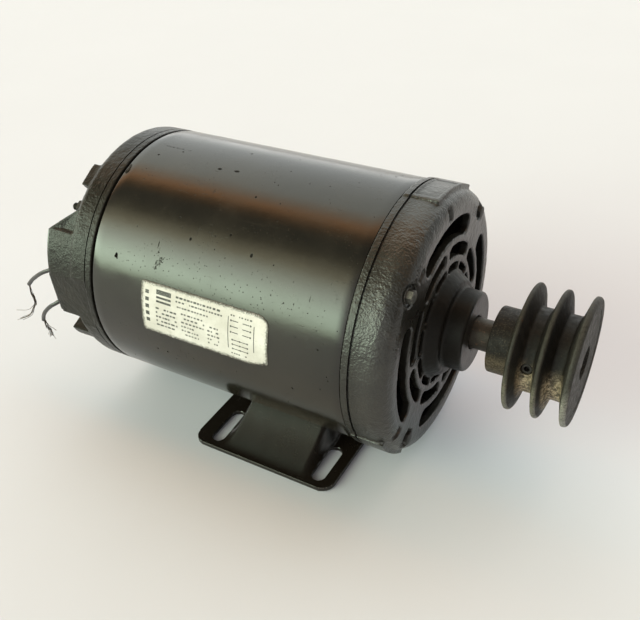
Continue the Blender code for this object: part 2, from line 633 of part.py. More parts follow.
# ---------------------------------------------------------------- rotor: shaft, core, cast cage with fan blades
shaft = make("shaft", lathe([
    (SHAFT_REAR_X, 0.0), (SHAFT_REAR_X, 7.8), (SHAFT_REAR_X + 0.8, REAR_JOURNAL_R), (-187.9, REAR_JOURNAL_R), (-187.9, SHAFT_MID_R - 1.4),
    (-150.0, SHAFT_MID_R - 1.4), (-150.0, SHAFT_MID_R), (-44.0, SHAFT_MID_R), (-44.0, 12.2), (9.6, 12.2), (9.6, FRONT_JOURNAL_R), (26.0, FRONT_JOURNAL_R),
    (26.0, SHAFT_R), (SHAFT_END_X - 1.0, SHAFT_R), (SHAFT_END_X, SHAFT_R - 1.0), (SHAFT_END_X, 0.0)], 24), STEEL, shaft_axis)


def key_outline(r0, r1, width):
    return slot_outline(KEY_ANGLE, r0, r1, width, width)


helper("shaft_keyway_cutter", prism(key_outline(SHAFT_R - 2.5, 14.0, KEY_W + 0.6), 54.0, 95.0))
boolean(shaft, bpy.data.objects["shaft_keyway_cutter"])
make("pulley_key", prism(key_outline(SHAFT_R - 2.15, 11.8, KEY_W), 55.6, 89.4), DARK_STEEL, shaft_axis)

rotor = make("rotor_core", lathe([(STATOR_X0 - 0.6, SHAFT_MID_R + GAP), (STATOR_X0 - 0.6, ROTOR_R), (STATOR_X1 + 0.6, ROTOR_R), (STATOR_X1 + 0.6, SHAFT_MID_R + GAP)], 36), LAMINATION, shaft_axis)
bar_holes = bmesh.new()
bar_form = bmesh.new()
for k in range(BARS):
    c = polar(39.2, 360.0 * k / BARS)
    prism(polygon(2.9, 6, c, 22.5), STATOR_X0 - 4, STATOR_X1 + 4, bar_holes)
    prism(polygon(2.5, 6, c, 22.5), STATOR_X0 - 6, STATOR_X1 + 6, bar_form)
helper("rotor_bar_hole_cutter", bar_holes)
boolean(rotor, bpy.data.objects["rotor_bar_hole_cutter"])

cage = make("rotor_cage", lathe([(STATOR_X1 + 1.0, 31.0), (STATOR_X1 + 1.0, 44.2), (STATOR_X1 + 9.0, 43.4), (STATOR_X1 + 9.0, 32.0)], 32), ALUMINIUM, shaft_axis)
rear_ring = lathe([(STATOR_X0 - 9.0, 32.0), (STATOR_X0 - 9.0, 43.4), (STATOR_X0 - 1.0, 44.2), (STATOR_X0 - 1.0, 31.0)], 32)
helper("rear_cage_ring_form", rear_ring)
boolean(cage, bpy.data.objects["rear_cage_ring_form"], "UNION")
helper("rotor_bar_form", bar_form)
boolean(cage, bpy.data.objects["rotor_bar_form"], "UNION")
blades = bmesh.new()
for k in range(8):
    a = 360.0 * k / 8 + 11.25
    prism(slot_outline(a, 33.2, 42.6, 2.4, 2.8), STATOR_X1 + 6.0, STATOR_X1 + 25.0, blades)
    prism(slot_outline(a, 33.2, 42.6, 2.4, 2.8), STATOR_X0 - 25.0, STATOR_X0 - 6.0, blades)
helper("fan_blade_form", blades)
boolean(cage, bpy.data.objects["fan_blade_form"], "UNION")

# ---------------------------------------------------------------- pulley
f1, f2, f3 = FLANGE_XS
rim = 1.4


def groove(xa, xb):
    """V groove between two flanges: 34 degree belt angle with a flat bottom."""
    depth = FLANGE_R - 0.5 - GROOVE_R
    run = depth * math.tan(math.radians(15.0))
    return [(xa + rim, FLANGE_R - 0.5), (xa + rim + run, GROOVE_R), (xb - rim - run, GROOVE_R), (xb - rim, FLANGE_R - 0.5)]


pulley = make("pulley", lathe([
    (PULLEY_X0, 9.85), (PULLEY_X0, HUB_R), (f1 - 4.2, HUB_R), (f1 - rim, FLANGE_R - 0.5), (f1, FLANGE_R)]
    + groove(f1, f2) + [(f2, FLANGE_R)]
    + groove(f2, f3) + [(f3, FLANGE_R), (PULLEY_X1, FLANGE_R - 0.6), (PULLEY_X1, 31.5),
    (PULLEY_X1 - 4.0, 30.5), (PULLEY_X1 - 4.0, 18.5), (PULLEY_X1 - 1.0, 17.0), (PULLEY_X1 - 1.0, 9.85)], 36), IRON, shaft_axis)
helper("pulley_keyway_cutter", prism(key_outline(8.0, 12.1, KEY_W + 0.6), 50.0, 110.0))
boolean(pulley, bpy.data.objects["pulley_keyway_cutter"])


def radial_cylinder(r0, r1, radius, sides):
    """A cylinder standing radially at the set screw's place."""
    bm = bmesh.new()
    a = math.radians(KEY_ANGLE)
    er, et = Vector((0, math.cos(a), math.sin(a))), Vector((0, -math.sin(a), math.cos(a)))
    ex = Vector((1, 0, 0))
    ends = []
    for r in (r0, r1):
        ends.append([bm.verts.new(Vector((SET_SCREW_X, 0, 0)) + er * r + ex * radius * math.cos(t) + et * radius * math.sin(t))
                     for t in (2 * math.pi * k / sides for k in range(sides))])
    bm.faces.new(ends[0])
    bm.faces.new(list(reversed(ends[1])))
    for k in range(sides):
        m = (k + 1) % sides
        bm.faces.new((ends[0][k], ends[0][m], ends[1][m], ends[1][k]))
    return bm


helper("set_screw_hole_cutter", radial_cylinder(11.0, 27.0, 3.5, 16))
boolean(pulley, bpy.data.objects["set_screw_hole_cutter"])
set_screw = make("pulley_set_screw", radial_cylinder(12.2, 24.2, 3.15, 16), DARK_STEEL, shaft_axis)
helper("hex_socket_cutter", radial_cylinder(20.8, 27.0, 1.8, 6))
boolean(set_screw, bpy.data.objects["hex_socket_cutter"])

# ---------------------------------------------------------------- formed foot base
# A pressed plate: flat feet at the floor, and a saddle in the middle that carries the shell.
BX0, BX1 = BASE_X - BASE_LX / 2, BASE_X + BASE_LX / 2


def smooth(t):
    t = max(0.0, min(1.0, t))
    return t * t * (3.0 - 2.0 * t)

# The pressed plate cups the shell out to CREST_Y, then falls in a straight ramp to the floor at RAMP_Y.
CREST_Y, RAMP_Y, RAMP_EASE = 44.0, 77.0, 0.18


def base_height(x, y):
    """Height of the plate's underside over the floor."""
    u = abs(x - SLOT_X)
    v = abs(y)
    cradle = SHAFT_H - math.sqrt((SHELL_R + GAP) ** 2 - min(v, CREST_Y) ** 2) - BASE_T - 0.6
    t = min(1.0, max(0.0, v - CREST_Y) / (RAMP_Y - CREST_Y))
    if t < RAMP_EASE:
        fall = t * t / (2.0 * RAMP_EASE)
    elif t > 1.0 - RAMP_EASE:
        fall = 1.0 - RAMP_EASE - (1.0 - t) ** 2 / (2.0 * RAMP_EASE)
    else:
        fall = t - RAMP_EASE / 2.0
    cradle *= 1.0 - fall / (1.0 - RAMP_EASE)
    return max(0.0, cradle) * (1.0 - smooth((u - 28.0) / 8.0))


xs = [BX0 - 1, SLOT_X - 36, SLOT_X - 33.5, SLOT_X - 30.5, SLOT_X - 28, SLOT_X + 28, SLOT_X + 30.5, SLOT_X + 33.5, SLOT_X + 36, BX1 + 1]
half_ys = [0, 17, 31, 44, 48, 52, 60, 68, 73, 77, 84]
ys = [-v for v in reversed(half_ys[1:])] + half_ys
base = bmesh.new()
grid = {}
for i, x in enumerate(xs):
    for j, y in enumerate(ys):
        h = base_height(x, y)
        grid[i, j, 0] = base.verts.new((x, y, h))
        grid[i, j, 1] = base.verts.new((x, y, h + BASE_T))
nx, ny = len(xs), len(ys)
for i in range(nx - 1):
    for j in range(ny - 1):
        base.faces.new((grid[i, j, 1], grid[i + 1, j, 1], grid[i + 1, j + 1, 1], grid[i, j + 1, 1]))
        base.faces.new((grid[i, j, 0], grid[i, j + 1, 0], grid[i + 1, j + 1, 0], grid[i + 1, j, 0]))
for i in range(nx - 1):
    for j in (0, ny - 1):
        base.faces.new((grid[i, j, 0], grid[i + 1, j, 0], grid[i + 1, j, 1], grid[i, j, 1]))
for j in range(ny - 1):
    for i in (0, nx - 1):
        base.faces.new((grid[i, j, 0], grid[i, j + 1, 0], grid[i, j + 1, 1], grid[i, j, 1]))
foot = make("foot_base", base, BASE_PAINT, at=(X0, 0.0, 0.0), sharp=50.0)
helper("base_outline_form", flat_prism(rounded(BASE_X, 0.0, BASE_LX, BASE_LY, 9.0), -5.0, 40.0), at=(X0, 0.0, 0.0))
boolean(foot, bpy.data.objects["base_outline_form"], "INTERSECT")
slots = bmesh.new()
for sx in (-1, 1):
    for sy in (-1, 1):
        flat_prism([(x, y) for x, y in stadium(SLOT_X + sx * SLOT_DX, sy * SLOT_DY, SLOT_W, SLOT_L)], -5.0, 12.0, slots)
helper("base_slot_cutter", slots, at=(X0, 0.0, 0.0))
boolean(foot, bpy.data.objects["base_slot_cutter"])

# ---------------------------------------------------------------- nameplate, ground screw
R_LAB = SHELL_R + GAP
label = bmesh.new()
rows = []
n_lab = 8
for k in range(n_lab + 1):
    a = LABEL_ANG[0] + (LABEL_ANG[1] - LABEL_ANG[0]) * k / n_lab
    inset = 2.0 if k in (0, n_lab) else 0.0
    (y0, z0), (y1, z1) = polar(R_LAB, a), polar(R_LAB + 0.3, a)
    rows.append([label.verts.new(p) for p in ((LABEL_X[0] + inset, y0, z0), (LABEL_X[0] + inset, y1, z1), (LABEL_X[1] - inset, y1, z1), (LABEL_X[1] - inset, y0, z0))])
for k in range(n_lab):
    a, b = rows[k], rows[k + 1]
    for i in range(4):
        j = (i + 1) % 4
        label.faces.new((a[i], a[j], b[j], b[i]))
label.faces.new(rows[0])
label.faces.new(list(reversed(rows[-1])))
make("nameplate", label, LABEL)

ground = lathe([(-214.6, 0.0), (-214.6, 2.4), (-213.8, 3.4), (-211.6, 3.4), (-211.6, 1.6), (-203.6, 1.6), (-203.6, 0.0)], 12, None, (-48.0, 33.0))
make("ground_screw", ground, BRASS)


# ---------------------------------------------------------------- leads
def smooth_route(points, spacing):
    """Catmull-Rom curve through the route's points, read at even steps."""
    pts = [Vector(p) for p in points]
    pts = [pts[0] * 2 - pts[1]] + pts + [pts[-1] * 2 - pts[-2]]
    fine = []
    for i in range(1, len(pts) - 2):
        p0, p1, p2, p3 = pts[i - 1:i + 3]
        for k in range(24):
            t = k / 24
            fine.append(0.5 * ((2 * p1) + (p2 - p0) * t + (2 * p0 - 5 * p1 + 4 * p2 - p3) * t * t + (3 * p1 - p0 - 3 * p2 + p3) * t ** 3))
    fine.append(pts[-2])
    total = sum((b - a).length for a, b in zip(fine, fine[1:]))
    count = max(2, round(total / spacing))
    out, walked, target = [fine[0]], 0.0, total / count
    for a, b in zip(fine, fine[1:]):
        step = (b - a).length
        while walked + step >= target * len(out) - 1e-9 and len(out) <= count and step > 0:
            out.append(a.lerp(b, min(1.0, (target * len(out) - walked) / step)))
        walked += step
    return out[:count] + [fine[-1]]


def tube(name, points, radius, mat, spacing):
    curve = bpy.data.curves.new(name, "CURVE")
    curve.dimensions = "3D"
    curve.bevel_depth = radius * MM
    curve.bevel_resolution = 2
    curve.use_fill_caps = True
    spline = curve.splines.new("POLY")
    route = smooth_route(points, spacing)
    spline.points.add(len(route) - 1)
    for p, q in zip(spline.points, route):
        p.co = (q.x * MM, q.y * MM, q.z * MM, 1.0)
    curve.materials.append(mat)
    obj = bpy.data.objects.new(name, curve)
    obj.location = (X0 * MM, 0.0, SHAFT_H * MM)
    bpy.context.scene.collection.objects.link(obj)
    return obj


LEAD_EXIT_X = [xg - 2.0 - BOX_TILT * (z - BOX_MID_Z) for z in LEAD_Z]
for i, z in enumerate(LEAD_Z):
    tube("inner_lead_%d" % (i + 1), [(-204.0, LEAD_Y + 2.0, z), (-208.0, LEAD_Y + 1.0, z), (-214.0, LEAD_Y, z), (LEAD_EXIT_X[i] + 1.0, LEAD_Y, z)], LEAD_R, RUBBER, 2.6)
LEAD_1 = [(LEAD_EXIT_X[0], LEAD_Y, LEAD_Z[0]), (LEAD_EXIT_X[0] - 2.4, LEAD_Y - 0.3, LEAD_Z[0] - 0.2), (-232.0, -75.6, 8.9), (-240.9, -74.0, 2.8), (-249.6, -72.0, -4.0), (-256.6, -70.2, -10.4)]
LEAD_2 = [(LEAD_EXIT_X[1], LEAD_Y, LEAD_Z[1]), (LEAD_EXIT_X[1] - 1.4, LEAD_Y - 1.0, LEAD_Z[1] - 1.4), (-226.0, -77.6, -13.4), (-230.1, -77.6, -16.2), (-236.8, -76.5, -21.9), (-242.9, -74.8, -27.8), (-247.5, -73.0, -33.3), (-250.6, -71.6, -38.2)]
tube("lead_wire_1", LEAD_1, LEAD_R, RUBBER, 3.4)
tube("lead_wire_2", LEAD_2, LEAD_R, RUBBER, 3.4)
tube("lead_strands_1", [(-257.0, -70.2, -11.2), (-257.7, -70.0, -18.3), (-256.5, -70.0, -22.6), (-256.6, -70.2, -27.0), (-260.3, -70.8, -33.4), (-264.4, -71.6, -38.8), (-272.0, -73.6, -42.9)], 1.0, STRAND, 3.0)
tube("lead_strands_2", [(-250.8, -71.4, -39.1), (-249.5, -71.0, -44.6), (-248.2, -70.5, -48.0), (-248.5, -70.0, -53.0)], 1.0, STRAND, 3.0)
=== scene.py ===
import bpy
import bmesh
import math
import random
import numpy as np
from mathutils import Matrix, Vector, noise


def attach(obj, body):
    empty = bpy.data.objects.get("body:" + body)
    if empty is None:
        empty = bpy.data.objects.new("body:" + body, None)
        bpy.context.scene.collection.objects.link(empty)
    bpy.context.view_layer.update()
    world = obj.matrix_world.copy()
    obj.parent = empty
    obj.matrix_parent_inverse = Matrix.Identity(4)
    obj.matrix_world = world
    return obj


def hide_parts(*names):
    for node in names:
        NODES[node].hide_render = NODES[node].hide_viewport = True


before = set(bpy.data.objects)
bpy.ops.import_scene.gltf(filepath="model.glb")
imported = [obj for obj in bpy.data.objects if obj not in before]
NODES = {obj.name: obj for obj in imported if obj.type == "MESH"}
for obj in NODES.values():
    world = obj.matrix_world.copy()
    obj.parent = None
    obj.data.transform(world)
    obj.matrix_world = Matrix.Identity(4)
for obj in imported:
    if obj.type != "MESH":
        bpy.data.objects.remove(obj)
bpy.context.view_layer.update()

MM = 0.001
X0, SHAFT_H = 58.0, 88.9
GAP = 0.3
scene = bpy.context.scene


def P(x, y, z):
    """A point of the motor's own measures (mm, x from the drive end seam, y and z from the shaft) in the row frame."""
    return Vector(((x + X0) * MM, y * MM, (z + SHAFT_H) * MM))


# ================================================================ camera
cam_data = bpy.data.cameras.new("photo_camera")
cam_data.sensor_width = 36.0
cam_data.sensor_fit = "HORIZONTAL"
cam_data.lens = 44.236
cam_data.clip_start, cam_data.clip_end = 0.01, 50.0
cam = bpy.data.objects.new("photo_camera", cam_data)
right = Vector((0.87118516, 0.48932717, -0.0399417))
up = Vector((-0.25600336, 0.52218435, 0.81350217))
back = Vector((0.41892565, -0.69848581, 0.58018866))
loc = Vector((0.21144, -0.36276, 0.37305))
cam.matrix_world = Matrix((
    (right.x, up.x, back.x, loc.x), (right.y, up.y, back.y, loc.y), (right.z, up.z, back.z, loc.z), (0, 0, 0, 1)))
scene.collection.objects.link(cam)
scene.camera = cam
scene.view_settings.view_transform = "Standard"
scene.view_settings.look = "None"


# ================================================================ material graphs
class Graph:
    """A Principled material and short calls that add nodes to it."""

    def __init__(self, name, rough=0.5, metal=0.0, colour=(0.5, 0.5, 0.5), spec=0.5):
        self.mat = bpy.data.materials.new(name)
        self.mat.use_nodes = True
        self.tree = self.mat.node_tree
        self.bsdf = self.tree.nodes["Principled BSDF"]
        self.set("Roughness", rough)
        self.set("Metallic", metal)
        self.set("Base Color", (*colour, 1.0))
        self.set("Specular IOR Level", spec)
        self.mat.diffuse_color = (*colour, 1.0)
        coord = self.new("ShaderNodeTexCoord")
        scale = self.new("ShaderNodeVectorMath", operation="SCALE")
        self.link(coord.outputs["Object"], scale.inputs[0])
        scale.inputs["Scale"].default_value = 1000.0
        self.mm = scale.outputs[0]

    def new(self, kind, **props):
        node = self.tree.nodes.new(kind)
        for key, value in props.items():
            setattr(node, key, value)
        return node

    def link(self, a, b):
        self.tree.links.new(a, b)

    def feed(self, value, socket):
        if isinstance(value, bpy.types.NodeSocket):
            self.link(value, socket)
        elif isinstance(value, (tuple, list)) and len(value) == 3 and socket.type == "RGBA":
            socket.default_value = (*value, 1.0)
        else:
            socket.default_value = value

    def set(self, name, value):
        self.feed(value, self.bsdf.inputs[name])

    def math(self, op, a, b=0.0, c=None, clamp=False):
        node = self.new("ShaderNodeMath", operation=op, use_clamp=clamp)
        self.feed(a, node.inputs[0])
        self.feed(b, node.inputs[1])
        if c is not None:
            self.feed(c, node.inputs[2])
        return node.outputs[0]

    def noise(self, scale, detail=3.0, rough=0.55, vec=None, dist=0.0):
        node = self.new("ShaderNodeTexNoise")
        self.link(vec or self.mm, node.inputs["Vector"])
        node.inputs["Scale"].default_value = scale
        node.inputs["Detail"].default_value = detail
        node.inputs["Roughness"].default_value = rough
        node.inputs["Distortion"].default_value = dist
        return node.outputs["Fac"]

    def cells(self, scale, vec=None, rand=1.0, feature="F1"):
        node = self.new("ShaderNodeTexVoronoi", feature=feature)
        self.link(vec or self.mm, node.inputs["Vector"])
        node.inputs["Scale"].default_value = scale
        node.inputs["Randomness"].default_value = rand
        return node.outputs["Distance"]

    def step(self, value, a, b, lo=0.0, hi=1.0):
        """Smooth ramp: lo where value is a, hi where it is b."""
        node = self.new("ShaderNodeMapRange", interpolation_type="SMOOTHSTEP")
        for key, x in (("Value", value), ("From Min", a), ("From Max", b), ("To Min", lo), ("To Max", hi)):
            self.feed(x, node.inputs[key])
        return node.outputs["Result"]

    def mix(self, fac, a, b, blend="MIX"):
        node = self.new("ShaderNodeMix", data_type="RGBA", blend_type=blend)
        self.feed(fac, node.inputs[0])
        self.feed(a, node.inputs[6])
        self.feed(b, node.inputs[7])
        return node.outputs[2]

    def xyz(self, vec=None):
        node = self.new("ShaderNodeSeparateXYZ")
        self.link(vec or self.mm, node.inputs[0])
        return node.outputs

    def join(self, x, y, z):
        node = self.new("ShaderNodeCombineXYZ")
        for value, socket in zip((x, y, z), node.inputs):
            self.feed(value, socket)
        return node.outputs[0]

    def stretch(self, sx, sy, sz, vec=None):
        node = self.new("ShaderNodeVectorMath", operation="MULTIPLY")
        self.link(vec or self.mm, node.inputs[0])
        node.inputs[1].default_value = (sx, sy, sz)
        return node.outputs[0]

    def wrap(self):
        """(x, arc length, radius) round the shaft axis in mm, with the join at the bottom."""
        x, y, z = self.xyz()
        h = self.math("SUBTRACT", z, SHAFT_H)
        turn = self.math("ARCTAN2", y, h)
        r = self.math("SQRT", self.math("ADD", self.math("MULTIPLY", y, y), self.math("MULTIPLY", h, h)))
        return self.join(x, self.math("MULTIPLY", turn, 82.5), r), x, turn, r

    def bump(self, *layers):
        """layers of (height, depth in mm); the last one is the finest."""
        normal = None
        for height, depth in layers:
            node = self.new("ShaderNodeBump")
            node.inputs["Strength"].default_value = 1.0
            node.inputs["Distance"].default_value = depth * MM
            self.link(height, node.inputs["Height"])
            if normal is not None:
                self.link(normal, node.inputs["Normal"])
            normal = node.outputs["Normal"]
        self.link(normal, self.bsdf.inputs["Normal"])
        return normal


def paint_shell():
    g = Graph("satin_dark_paint", 0.18, 0.0, (0.012, 0.011, 0.008))
    vec, x, turn, r = g.wrap()
    cloud = g.noise(0.018, 4.0, 0.6, vec)
    fine = g.noise(0.12, 4.0, 0.65, vec)
    base = g.mix(g.step(cloud, 0.35, 0.68), (0.0100, 0.0088, 0.0064), (0.0165, 0.0142, 0.0102))
    base = g.mix(g.math("MULTIPLY", g.step(fine, 0.5, 0.8), 0.30), base, (0.030, 0.026, 0.019))
    # faint rubbed streaks along the barrel
    long = g.noise(1.0, 2.0, 0.5, g.stretch(0.020, 0.55, 1.0, vec), 0.3)
    rub = g.step(long, 0.66, 0.76)
    base = g.mix(g.math("MULTIPLY", rub, 0.20), base, (0.045, 0.040, 0.030))
    # short dark scratches, both ways
    s1 = g.noise(1.0, 1.0, 0.4, g.stretch(0.16, 2.2, 1.0, vec), 0.8)
    s2 = g.noise(1.0, 1.0, 0.4, g.stretch(1.9, 0.14, 1.0, vec), 0.8)
    zone = g.step(g.noise(0.03, 2.0, 0.5, vec), 0.48, 0.62, 0.0, 0.7)
    cut = g.math("MULTIPLY", g.math("MAXIMUM", g.step(s1, 0.735, 0.765), g.step(s2, 0.750, 0.780)), zone)
    # chips down to the primer, pits and specks
    ragged = g.math("MULTIPLY", g.math("SUBTRACT", g.noise(1.3, 2.0, 0.6, vec), 0.5), 0.10)
    chip = g.math("MULTIPLY", g.step(g.math("ADD", g.cells(0.085, vec), ragged), 0.075, 0.055), g.step(g.noise(0.022, 1.0, 0.5, vec, 0.4), 0.45, 0.52))
    pit = g.math("MULTIPLY", g.step(g.cells(0.16, g.stretch(1.0, 0.8, 1.0, vec)), 0.080, 0.055), g.step(g.noise(0.04, 1.0, 0.5, vec, 0.7), 0.42, 0.50))
    label_top = g.math("MULTIPLY", g.math("MULTIPLY", g.step(x, -92.0, -84.0), g.step(x, 14.0, 4.0)),
                       g.math("MULTIPLY", g.step(turn, math.radians(-70.5), math.radians(-67.0)), g.step(turn, math.radians(-40.0), math.radians(-62.0))))
    speck_zone = g.math("MAXIMUM", g.step(g.noise(0.05, 2.0, 0.5, vec), 0.54, 0.66, 0.0, 0.75), label_top)
    speck = g.math("MULTIPLY", g.step(g.math("ADD", g.cells(0.42, vec), ragged), 0.16, 0.11), speck_zone)

    def blot(at_x, angle, rx, rs):
        u = g.math("MULTIPLY", g.math("SUBTRACT", x, at_x + X0), 1.0 / rx)
        v = g.math("MULTIPLY", g.math("SUBTRACT", turn, math.radians(90.0 - angle)), 82.5 / rs)
        d = g.math("SQRT", g.math("ADD", g.math("MULTIPLY", u, u), g.math("MULTIPLY", v, v)))
        return g.step(g.math("ADD", d, g.math("MULTIPLY", ragged, 5.0)), 1.15, 0.75)

    marks = None
    for at_x, angle, rx, rs in ((-161.8, 152.6, 0.6, 0.6), (-112.9, 136.7, 0.9, 1.1), (-70.7, 136.7, 0.9, 1.3), (-133.3, 142.2, 0.5, 2.8), (-132.0, 145.2, 0.65, 2.6), (-129.1, 148.1, 1.9, 1.8), (-130.9, 149.8, 2.3, 1.9), (-132.7, 151.7, 1.5, 1.7),
                                (-160.5, 94.0, 13.0, 0.7), (-119.3, 101.9, 1.6, 1.0), (-107.6, 101.1, 1.8, 1.0), (-88.0, 131.0, 0.8, 0.9)):
        b = blot(at_x, angle, rx, rs)
        if rs > 5.0 or rx > 5.0 or -133.5 < at_x < -129.0:
            b = g.math("MULTIPLY", b, g.step(g.noise(0.8, 3.0, 0.7, vec, 0.5), 0.46, 0.60))
        marks = b if marks is None else g.math("MAXIMUM", marks, b)
    hurt = g.math("MAXIMUM", g.math("MAXIMUM", chip, marks), g.math("MAXIMUM", g.math("MULTIPLY", cut, 0.75), g.math("MAXIMUM", g.math("MULTIPLY", pit, 0.8), g.math("MULTIPLY", speck, 0.75))))
    base = g.mix(g.math("MULTIPLY", hurt, 0.9), base, (0.0045, 0.0038, 0.0030))
    dust = g.step(g.cells(0.45, g.stretch(1.0, 1.1, 1.0, vec)), 0.075, 0.05)
    dust_zone = g.step(g.noise(0.05, 2.0, 0.5, vec, 0.2), 0.55, 0.70)
    base = g.mix(g.math("MULTIPLY", g.math("MULTIPLY", dust, dust_zone), 0.35), base, (0.14, 0.125, 0.10))
    # soot and dirt near both seams
    seam = g.math("MAXIMUM", g.step(x, 45.0, 53.5), g.step(x, -114.0, -122.5))
    base = g.mix(g.math("MULTIPLY", g.math("MULTIPLY", seam, g.noise(0.25, 4.0, 0.7, vec)), 0.8), base, (0.006, 0.005, 0.004))
    g.set("Base Color", base)
    g.set("Specular IOR Level", g.math("SUBTRACT", 0.5, g.math("MULTIPLY", hurt, 0.42)))
    rough = g.step(g.noise(0.035, 4.0, 0.6, vec), 0.3, 0.75, 0.14, 0.23)
    rough = g.math("ADD", rough, g.math("MULTIPLY", rub, 0.07))
    rough = g.math("ADD", rough, g.math("MULTIPLY", hurt, 0.40), clamp=True)
    g.set("Roughness", rough)
    g.bump((g.noise(0.06, 2.0, 0.5, vec), 0.09), (g.noise(0.55, 3.0, 0.5, vec), 0.020), (g.math("MULTIPLY", hurt, -1.0), 0.035))
    return g.mat


def paint_cast(name="cast_dark_paint", tone=1.0):
    g = Graph(name, 0.33, 0.0, (0.016, 0.015, 0.012))
    vec, x, turn, r = g.wrap()
    point = g.new("ShaderNodeNewGeometry").outputs["Pointiness"]
    cloud = g.noise(0.03, 4.0, 0.6)
    base = g.mix(g.step(cloud, 0.35, 0.7), (0.0105 * tone, 0.0098 * tone, 0.0078 * tone), (0.019 * tone, 0.0175 * tone, 0.0140 * tone))
    brown = g.step(g.noise(0.055, 4.0, 0.7), 0.60, 0.74)
    base = g.mix(g.math("MULTIPLY", brown, 0.35), base, (0.034, 0.024, 0.015))
    # convex edges and vent rims lighter: paint wear, plus a painted highlight where the edges catch the light
    edge_wear_and_highlight = g.math("MULTIPLY", g.step(point, 0.535, 0.62), g.step(g.noise(0.35, 4.0, 0.7), 0.36, 0.62))
    base = g.mix(g.math("MULTIPLY", edge_wear_and_highlight, 0.45), base, (0.13, 0.125, 0.11))
    fleck = g.step(g.cells(0.22), 0.09, 0.06)
    base = g.mix(g.math("MULTIPLY", fleck, 0.30), base, (0.10, 0.095, 0.08))
    # painted shade: concave hollows and crevices darkened
    hollow_shade = g.step(point, 0.475, 0.42)
    base = g.mix(g.math("MULTIPLY", hollow_shade, 0.6), base, (0.004, 0.0038, 0.0034))
    rough = g.step(cloud, 0.3, 0.75, 0.26, 0.38)
    # the drive end's boss is dull and sooty, the flare round its vents shinier
    boss = g.math("MULTIPLY", g.math("MULTIPLY", g.step(r, 38.0, 32.0), g.step(r, 23.2, 24.6, 0.40, 1.0)), g.step(x, 40.0, 50.0))
    flare = g.math("MULTIPLY", g.step(r, 50.0, 58.0), g.step(x, 58.0, 66.0))
    base = g.mix(g.math("MULTIPLY", boss, 0.65), base, (0.0060, 0.0050, 0.0042))
    g.set("Base Color", base)
    g.set("Roughness", g.math("ADD", g.math("ADD", rough, g.math("MULTIPLY", boss, 0.10)), g.math("MULTIPLY", edge_wear_and_highlight, 0.12)))
    shine = g.math("ADD", g.step(x, -110.0, 0.0, 0.20, 0.42), g.math("MULTIPLY", flare, 0.20))
    g.set("Specular IOR Level", g.math("SUBTRACT", shine, g.math("MULTIPLY", boss, 0.29)))
    # pebbled as cast on the rims, smoother on the drive end's face and boss
    rim = g.step(r, 62.0, 79.0)
    drive = g.step(x, 40.0, 50.0)
    pebble = g.math("SUBTRACT", 1.0, g.math("MULTIPLY", drive, g.math("SUBTRACT", 1.0, g.math("MAXIMUM", rim, 0.18))))
    g.bump((g.math("MULTIPLY", g.noise(0.22, 2.0, 0.5), pebble), 0.35), (g.math("MULTIPLY", g.noise(0.80, 1.0, 0.5), pebble), 0.34), (g.noise(2.2, 1.0, 0.5), 0.03))
    return g.mat


def paint_gloss():
    g = Graph("gloss_black_enamel", 0.12, 0.0, (0.008, 0.008, 0.009))
    x, y, z = g.xyz()
    point = g.new("ShaderNodeNewGeometry").outputs["Pointiness"]
    cloud = g.noise(0.03, 4.0, 0.6)
    base = g.mix(cloud, (0.0085, 0.0058, 0.0042), (0.0130, 0.0096, 0.0070))
    dust = g.step(g.noise(0.16, 5.0, 0.7), 0.52, 0.78)
    base = g.mix(g.math("MULTIPLY", dust, 0.10), base, (0.08, 0.07, 0.055))
    speck = g.step(g.cells(0.35), 0.11, 0.06)
    base = g.mix(g.math("MULTIPLY", speck, 0.12), base, (0.10, 0.09, 0.075))
    edge = g.math("MULTIPLY", g.step(point, 0.53, 0.60), g.step(g.noise(0.5, 4.0, 0.7), 0.42, 0.60))
    base = g.mix(g.math("MULTIPLY", edge, 0.85), base, (0.42, 0.38, 0.32))
    s1 = g.noise(1.0, 1.0, 0.4, g.stretch(0.12, 2.0, 0.4), 0.6)
    scratch = g.step(s1, 0.735, 0.765)
    base = g.mix(g.math("MULTIPLY", scratch, 0.12), base, (0.12, 0.11, 0.09))
    g.set("Base Color", base)
    rough = g.step(g.noise(0.06, 4.0, 0.6), 0.3, 0.75, 0.18, 0.28)
    rough = g.math("ADD", rough, g.math("MULTIPLY", dust, 0.10))
    g.set("Roughness", g.math("ADD", rough, g.math("MULTIPLY", edge, 0.25)))
    g.bump((g.noise(0.05, 2.0, 0.5), 0.14), (g.noise(0.5, 3.0, 0.5), 0.018), (scratch, -0.02))
    return g.mat


